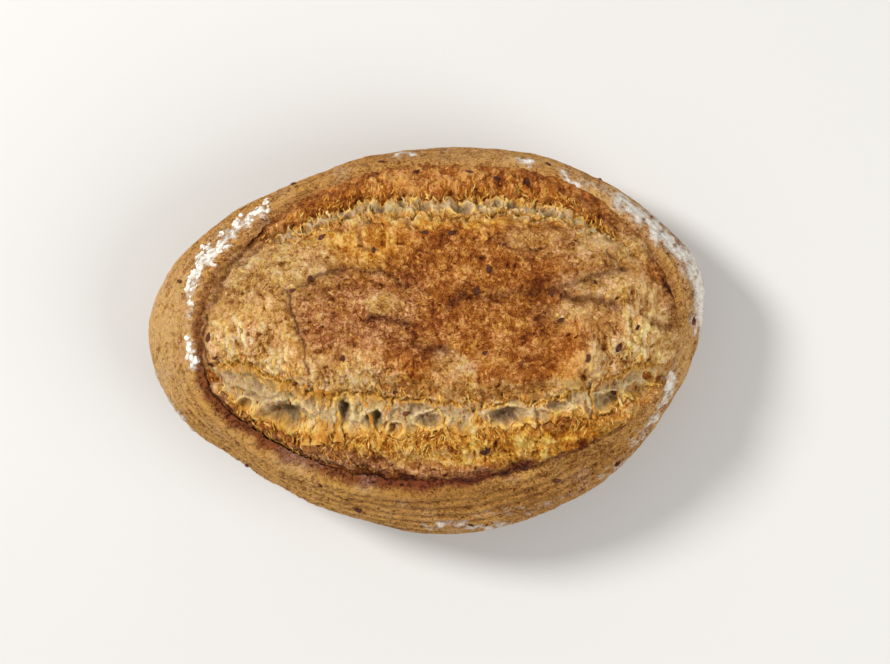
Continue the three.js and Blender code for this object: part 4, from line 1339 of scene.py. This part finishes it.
def make_strand_guides():
    """The strands' middle lines, as edges, with a thickness at each point."""
    points, thicknesses, edges = [], [], []
    share = np.linspace(0, 1, STRAND_POINTS)
    for seam, strands in [(LOWER_SEAM, LOWER_STRANDS), (UPPER_SEAM, UPPER_STRANDS)]:
        for number, (x, lean, thickness) in enumerate(strands):
            above, below = seam.crumb_above(x) * STRAND_REACH, seam.crumb_below(x) * STRAND_REACH
            xs = x + lean * (share - 0.5) + 1.8 * noise(share * 3, number * 7.7, 2)
            xs = xs + 0.6 * noise(share * 9, number * 3.1)
            ys = seam.middle(x) + above - (above + below) * share
            ends = bloom_points(xs[[0, -1]], ys[[0, -1]])[0]
            line = ends[0] + (ends[1] - ends[0]) * share[:, None]
            line[:, 0] = xs
            sag = STRAND_SAG * (above + below) * np.sin(share * np.pi)
            line = raised(line, -sag - STRAND_SUNK * (0.3 + (2 * share - 1) ** 2))
            first = len(points)
            points.extend(line)
            flared = 0.35 + 0.5 * (1 - share) ** 3 + 0.9 * share**2.5
            thicknesses.extend(thickness * flared * (1 + 0.3 * noise(share * 5, number * 3.3)))
            edges += [(first + step, first + step + 1) for step in range(STRAND_POINTS - 1)]
    return make_piece("strand guides", points, [], {"thick": np.array(thicknesses) * MILLIMETRE}, edges)


def make_strand_tree():
    tree, given, result = new_tree("dough strands", "Roughness")
    curves = add(tree, "GeometryNodeMeshToCurve", {"Mesh": given["Geometry"]}).outputs[0]
    curves = add(tree, "GeometryNodeResampleCurve", {"Curve": curves, "Count": 48}).outputs[0]
    radius = maths(tree, "MULTIPLY", attribute(tree, "thick"), 0.5)
    ropes = shaken(tree, tubes(tree, curves, radius, 16), 500.0, given["Roughness"], 1.0)
    ropes = shaken(tree, ropes, 1400.0, maths(tree, "MULTIPLY", given["Roughness"], 0.6), 2.0)
    finish_shapes(tree, ropes, given["Material"], result)
    return tree


def make_strand_material():
    material, tree, surface = new_material("golden strand")
    place = object_place(tree)
    fine = baked(tree, place, 1.1, 1.0)
    base = rescaled(tree, patchy(tree, place, 160.0, 2.0), 0.35, 0.65, 0.3, 0.8)
    tone = added(tree, base, fine["Tone"], 0.3)
    colour = shades(
        tree, tone, (146, 76, 16), (198, 130, 42), (220, 170, 80), (244, 220, 158),
        places=(0.0, 0.4, 0.7, 1.0))
    finish(tree, surface, colour, 0.65, 0.2, fine["Height"], 0.0008)
    return material


strand_ropes = grown(
    "strands",
    make_strand_guides(),
    make_strand_tree(),
    Roughness=STRAND_ROUGHNESS * MILLIMETRE,
    Material=make_strand_material(),
)
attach(strand_ropes, "root")


# The seeds
# Flax seeds, kneaded into the dough and pressed into its surface: flat, pointed drops with a dark
# brown shell, each sunk about halfway into the crust. The ones on the crown lie where the
# photograph shows them, and the others are scattered over the skin and the flanks.

SEED_LENGTH = 4.4
SEED_WIDTH = 2.5
SEED_THICKNESS = 1.6
SEED_SUNK = 0.42  # the share of its thickness that a seed sits in the crust
SMALLEST_SEED = 0.6  # as a share of those measures
SEED_SPREAD = 0.45  # and how much larger the largest one is
SEED_FOOTING = 0.9  # how far from its middle a seed feels for the crust under it
# Seeds at known places: x, y and turn. And in each zone, how many more, and between which shares
# of the way across it.
CROWN_SEEDS = [
    (22, 21, 80), (44, 68, 80), (19, 71, 5), (31, 69, 10), (56, 9, 30), (53, 20, 80), (58, 20, 85),
    (25, -4, 25), (40, -8, 60), (67, -6, 70), (-33, -6, 75), (-53, -17, 40), (-56, -26, 70),
    (-73, -35, 20), (-16, -55, 10), (26, -45, 10), (43, -53, 20), (57, -59, 5), (-91, 2, 80),
    (-46, 26, 70), (-42, 43, 40), (12, 44, 20), (33, 39, 50), (-3, 73, 15), (88, 6, 50), (80, -2, 60),
]
SCATTERED_SEEDS = {"bloom": (10, 0.35, 0.92), "skin": (9, 0.25, 0.8), "side": (10, 0.15, 0.6)}


def spun(tree, rotation, angle):
    """A rotation turned further, about its own Z."""
    spin = add(tree, "FunctionNodeAxisAngleToRotation", {"Axis": (0, 0, 1), "Angle": angle}).outputs[0]
    both = {0: rotation, 1: spin}
    return add(tree, "FunctionNodeRotateRotation", both, rotation_space="LOCAL").outputs[0]


def make_seed_tree():
    tree, given, result = new_tree("flax seeds", "Length", "Width", "Thickness")
    ball = {"Segments": 18, "Rings": 10, "Radius": 0.5}
    ball = add(tree, "GeometryNodeMeshUVSphere", ball).outputs[0]
    place = {0: add(tree, "GeometryNodeInputPosition").outputs[0]}
    x, y, z = add(tree, "ShaderNodeSeparateXYZ", place).outputs
    forward = maths(tree, "POWER", maths(tree, "ADD", x, 0.5), 2.0)
    narrowing = maths(tree, "SUBTRACT", 1.08, maths(tree, "MULTIPLY", forward, 0.55))
    drop = add(tree, "ShaderNodeCombineXYZ", {
        0: maths(tree, "MULTIPLY", x, given["Length"]),
        1: maths(tree, "MULTIPLY", maths(tree, "MULTIPLY", y, narrowing), given["Width"]),
        2: maths(tree, "MULTIPLY", maths(tree, "MULTIPLY", z, narrowing), given["Thickness"]),
    }).outputs[0]
    shell = add(tree, "GeometryNodeSetPosition", {"Geometry": ball, "Position": drop}).outputs[0]
    facing = {"Vector": attribute(tree, "facing", "FLOAT_VECTOR")}
    upright = add(tree, "FunctionNodeAlignRotationToVector", facing, axis="Z").outputs[0]
    turned = spun(tree, upright, attribute(tree, "turn"))
    shells = placed(tree, given["Geometry"], shell, turned, attribute(tree, "size"))
    finish_shapes(tree, shaken(tree, shells, 500.0, 0.0006, 5.0), given["Material"], result)
    return tree


def skin_at(angle, reach):
    """The skin's surface at a reach from the middle of the loaf."""
    outer = outline(angle)
    start = skin_start(angle) / outer
    share = np.arcsin(np.clip((reach / outer - start) / (1 - start), 0, 1)) / (np.pi / 2)
    return skin_point(angle, share)[0]


def crust_at(x, y):
    """The mean height of the bloom's or the skin's surface within a seed's width of a place."""
    around_x = x + SEED_FOOTING * np.array([0, 1, -1, 0, 0])
    around_y = y + SEED_FOOTING * np.array([0, 0, 0, 1, -1])
    angle, reach = np.arctan2(around_y, around_x), np.hypot(around_x, around_y)
    if reach[0] > torn_edge(angle[0]):
        return skin_at(angle, reach).mean(axis=0)
    found = bloom_points(around_x, around_y)[0]
    for seam in SEAMS:
        if seam.crumb(around_x, around_y)[0] > 0.5:
            found = crumb_points(seam, around_x, around_y)[0]
    return found.mean(axis=0)


def make_seed_points():
    places = [crust_at(x, y) for x, y, _ in CROWN_SEEDS]
    turns = [turn for _, _, turn in CROWN_SEEDS]
    for zone, (name, (count, low, high)) in enumerate(SCATTERED_SEEDS.items()):
        for k in range(count):
            angle = 2 * np.pi * (k + 0.7 * draw(k, 5 + zone)) / count
            share = low + (high - low) * draw(k, 9 + zone)
            if name == "bloom":
                reach = share * skin_edge(angle)
                place = crust_at(reach * np.cos(angle), reach * np.sin(angle))
            elif name == "skin":
                place = skin_point(angle, share)[0]
            else:
                place = side_point(angle, share)
            places.append(place)
            turns.append(180 * draw(k, 13 + zone))
    places = np.array(places)
    facing = outward(places)
    sizes = SMALLEST_SEED + SEED_SPREAD * draw(np.arange(len(places)), 3)
    seated = places + facing * ((0.5 - SEED_SUNK) * SEED_THICKNESS * sizes)[:, None]
    masks = {"facing": facing, "turn": np.radians(turns), "size": sizes}
    return make_piece("seed places", seated, [], masks)


def make_seed_material():
    material, tree, surface = new_material("flax shell")
    place = object_place(tree)
    share = patchy(tree, place, 300.0, 4.0)
    colour = shades(tree, share, (44, 18, 10), (76, 38, 22), (122, 70, 40), places=(0.3, 0.5, 0.72))
    grainy = patchy(tree, place, 1800.0, 2.0)
    finish(tree, surface, colour, added(tree, 0.3, share, 0.5), 0.15, grainy, 0.0003)
    return material


seeds = grown(
    "flax_seeds",
    make_seed_points(),
    make_seed_tree(),
    Length=SEED_LENGTH * MILLIMETRE,
    Width=SEED_WIDTH * MILLIMETRE,
    Thickness=SEED_THICKNESS * MILLIMETRE,
    Material=make_seed_material(),
)
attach(seeds, "root")


# The flour
# Rice flour from the proving basket that caked on the skin and cracked into small chips as the
# loaf swelled. The chips lie where the skin's flour is thickest.

CHIP_SIZE = 2.4
CHIP_THICKNESS = 0.14  # as a share of its length
CHIPS_PER_SQUARE_MILLIMETRE = 0.8


def make_chip_tree():
    tree, given, result = new_tree("flour chips", "Density", "Size")
    places = scattered(tree, given, "plates", 9)
    chip = {"Vertices": 6, "Radius Top": 0.36, "Radius Bottom": 0.5, "Depth": 1.0}
    chip = add(tree, "GeometryNodeMeshCone", chip).outputs[0]
    share = added(tree, 0.3, maths(tree, "POWER", random_number(tree, 0.1, 1.0, 3), 3.0), 1.0)
    length = maths(tree, "MULTIPLY", given["Size"], share)
    size = add(tree, "ShaderNodeCombineXYZ", {
        0: length,
        1: maths(tree, "MULTIPLY", length, random_number(tree, 0.4, 1.1, 12)),
        2: maths(tree, "MULTIPLY", length, CHIP_THICKNESS),
    }).outputs[0]
    turned = spun(tree, places["Rotation"], random_number(tree, 0.0, 6.28, 6))
    chips = placed(tree, places["Points"], chip, turned, size)
    chips = shaken(tree, chips, 1500.0, maths(tree, "MULTIPLY", given["Size"], 0.3), 2.0)
    finish_shapes(tree, chips, given["Material"], result)
    return tree


def make_flour_material():
    material, tree, surface = new_material("caked flour")
    share = patchy(tree, object_place(tree), 500.0, 4.0)
    colour = shades(tree, share, (196, 180, 156), (236, 228, 214), (250, 246, 238), places=(0.3, 0.5, 0.7))
    finish(tree, surface, colour, 0.95, 0.05)
    return material


def make_flour():
    ground = skin.copy()
    ground.data = skin.data.copy()
    ground.data.materials.clear()
    chips = grown(
        "flour_chips",
        link(ground),
        make_chip_tree(),
        Density=CHIPS_PER_SQUARE_MILLIMETRE / MILLIMETRE**2,
        Size=CHIP_SIZE * MILLIMETRE,
        Material=make_flour_material(),
    )
    chips.data.shade_flat()
    return chips


flour = make_flour()
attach(flour, "root")


# The setting
# A plain pale floor, one large soft light from the upper left, a weaker one opposite it, and a
# camera straight above the loaf, as in the photograph.

FLOOR_REACH = 3.0
CAMERA_HEIGHT = 0.959
CAMERA_PLACE = (0.00902, 0.0044)
FOCAL_LENGTH = 85

floor_mesh = bpy.data.meshes.new("floor")
corners = [(-1, -1), (1, -1), (1, 1), (-1, 1)]
floor_mesh.from_pydata([(x * FLOOR_REACH, y * FLOOR_REACH, 0) for x, y in corners], [], [(0, 1, 2, 3)])
floor = link(bpy.data.objects.new("floor", floor_mesh))
floor_material, floor_tree, floor_surface = new_material("pale floor")
floor_surface.inputs["Base Color"].default_value = paint(205, 203, 199)
floor_surface.inputs["Roughness"].default_value = 0.8
floor.data.materials.append(floor_material)


def add_light(name, place, size, power):
    light = bpy.data.lights.new(name, "AREA")
    light.shape = "DISK"
    light.size = size
    light.energy = power
    lamp = link(bpy.data.objects.new(name, light))
    lamp.location = place
    lamp.rotation_euler = Vector(place).to_track_quat("Z", "Y").to_euler()


add_light("key light", place=(-1.05, 0.55, 1.3), size=0.45, power=29.5)
add_light("fill light", place=(0.9, -0.4, 0.9), size=1.0, power=10)

world = bpy.data.worlds.new("soft sky")
world.use_nodes = True
sky = world.node_tree.nodes["Background"]
sky.inputs["Color"].default_value = (1, 1, 1, 1)
sky.inputs["Strength"].default_value = 0.45
bpy.context.scene.world = world
bpy.context.scene.view_settings.view_transform = "Standard"

camera_data = bpy.data.cameras.new("camera")
camera_data.lens = FOCAL_LENGTH
camera = link(bpy.data.objects.new("camera", camera_data))
camera.location = (*CAMERA_PLACE, CAMERA_HEIGHT)
bpy.context.scene.camera = camera
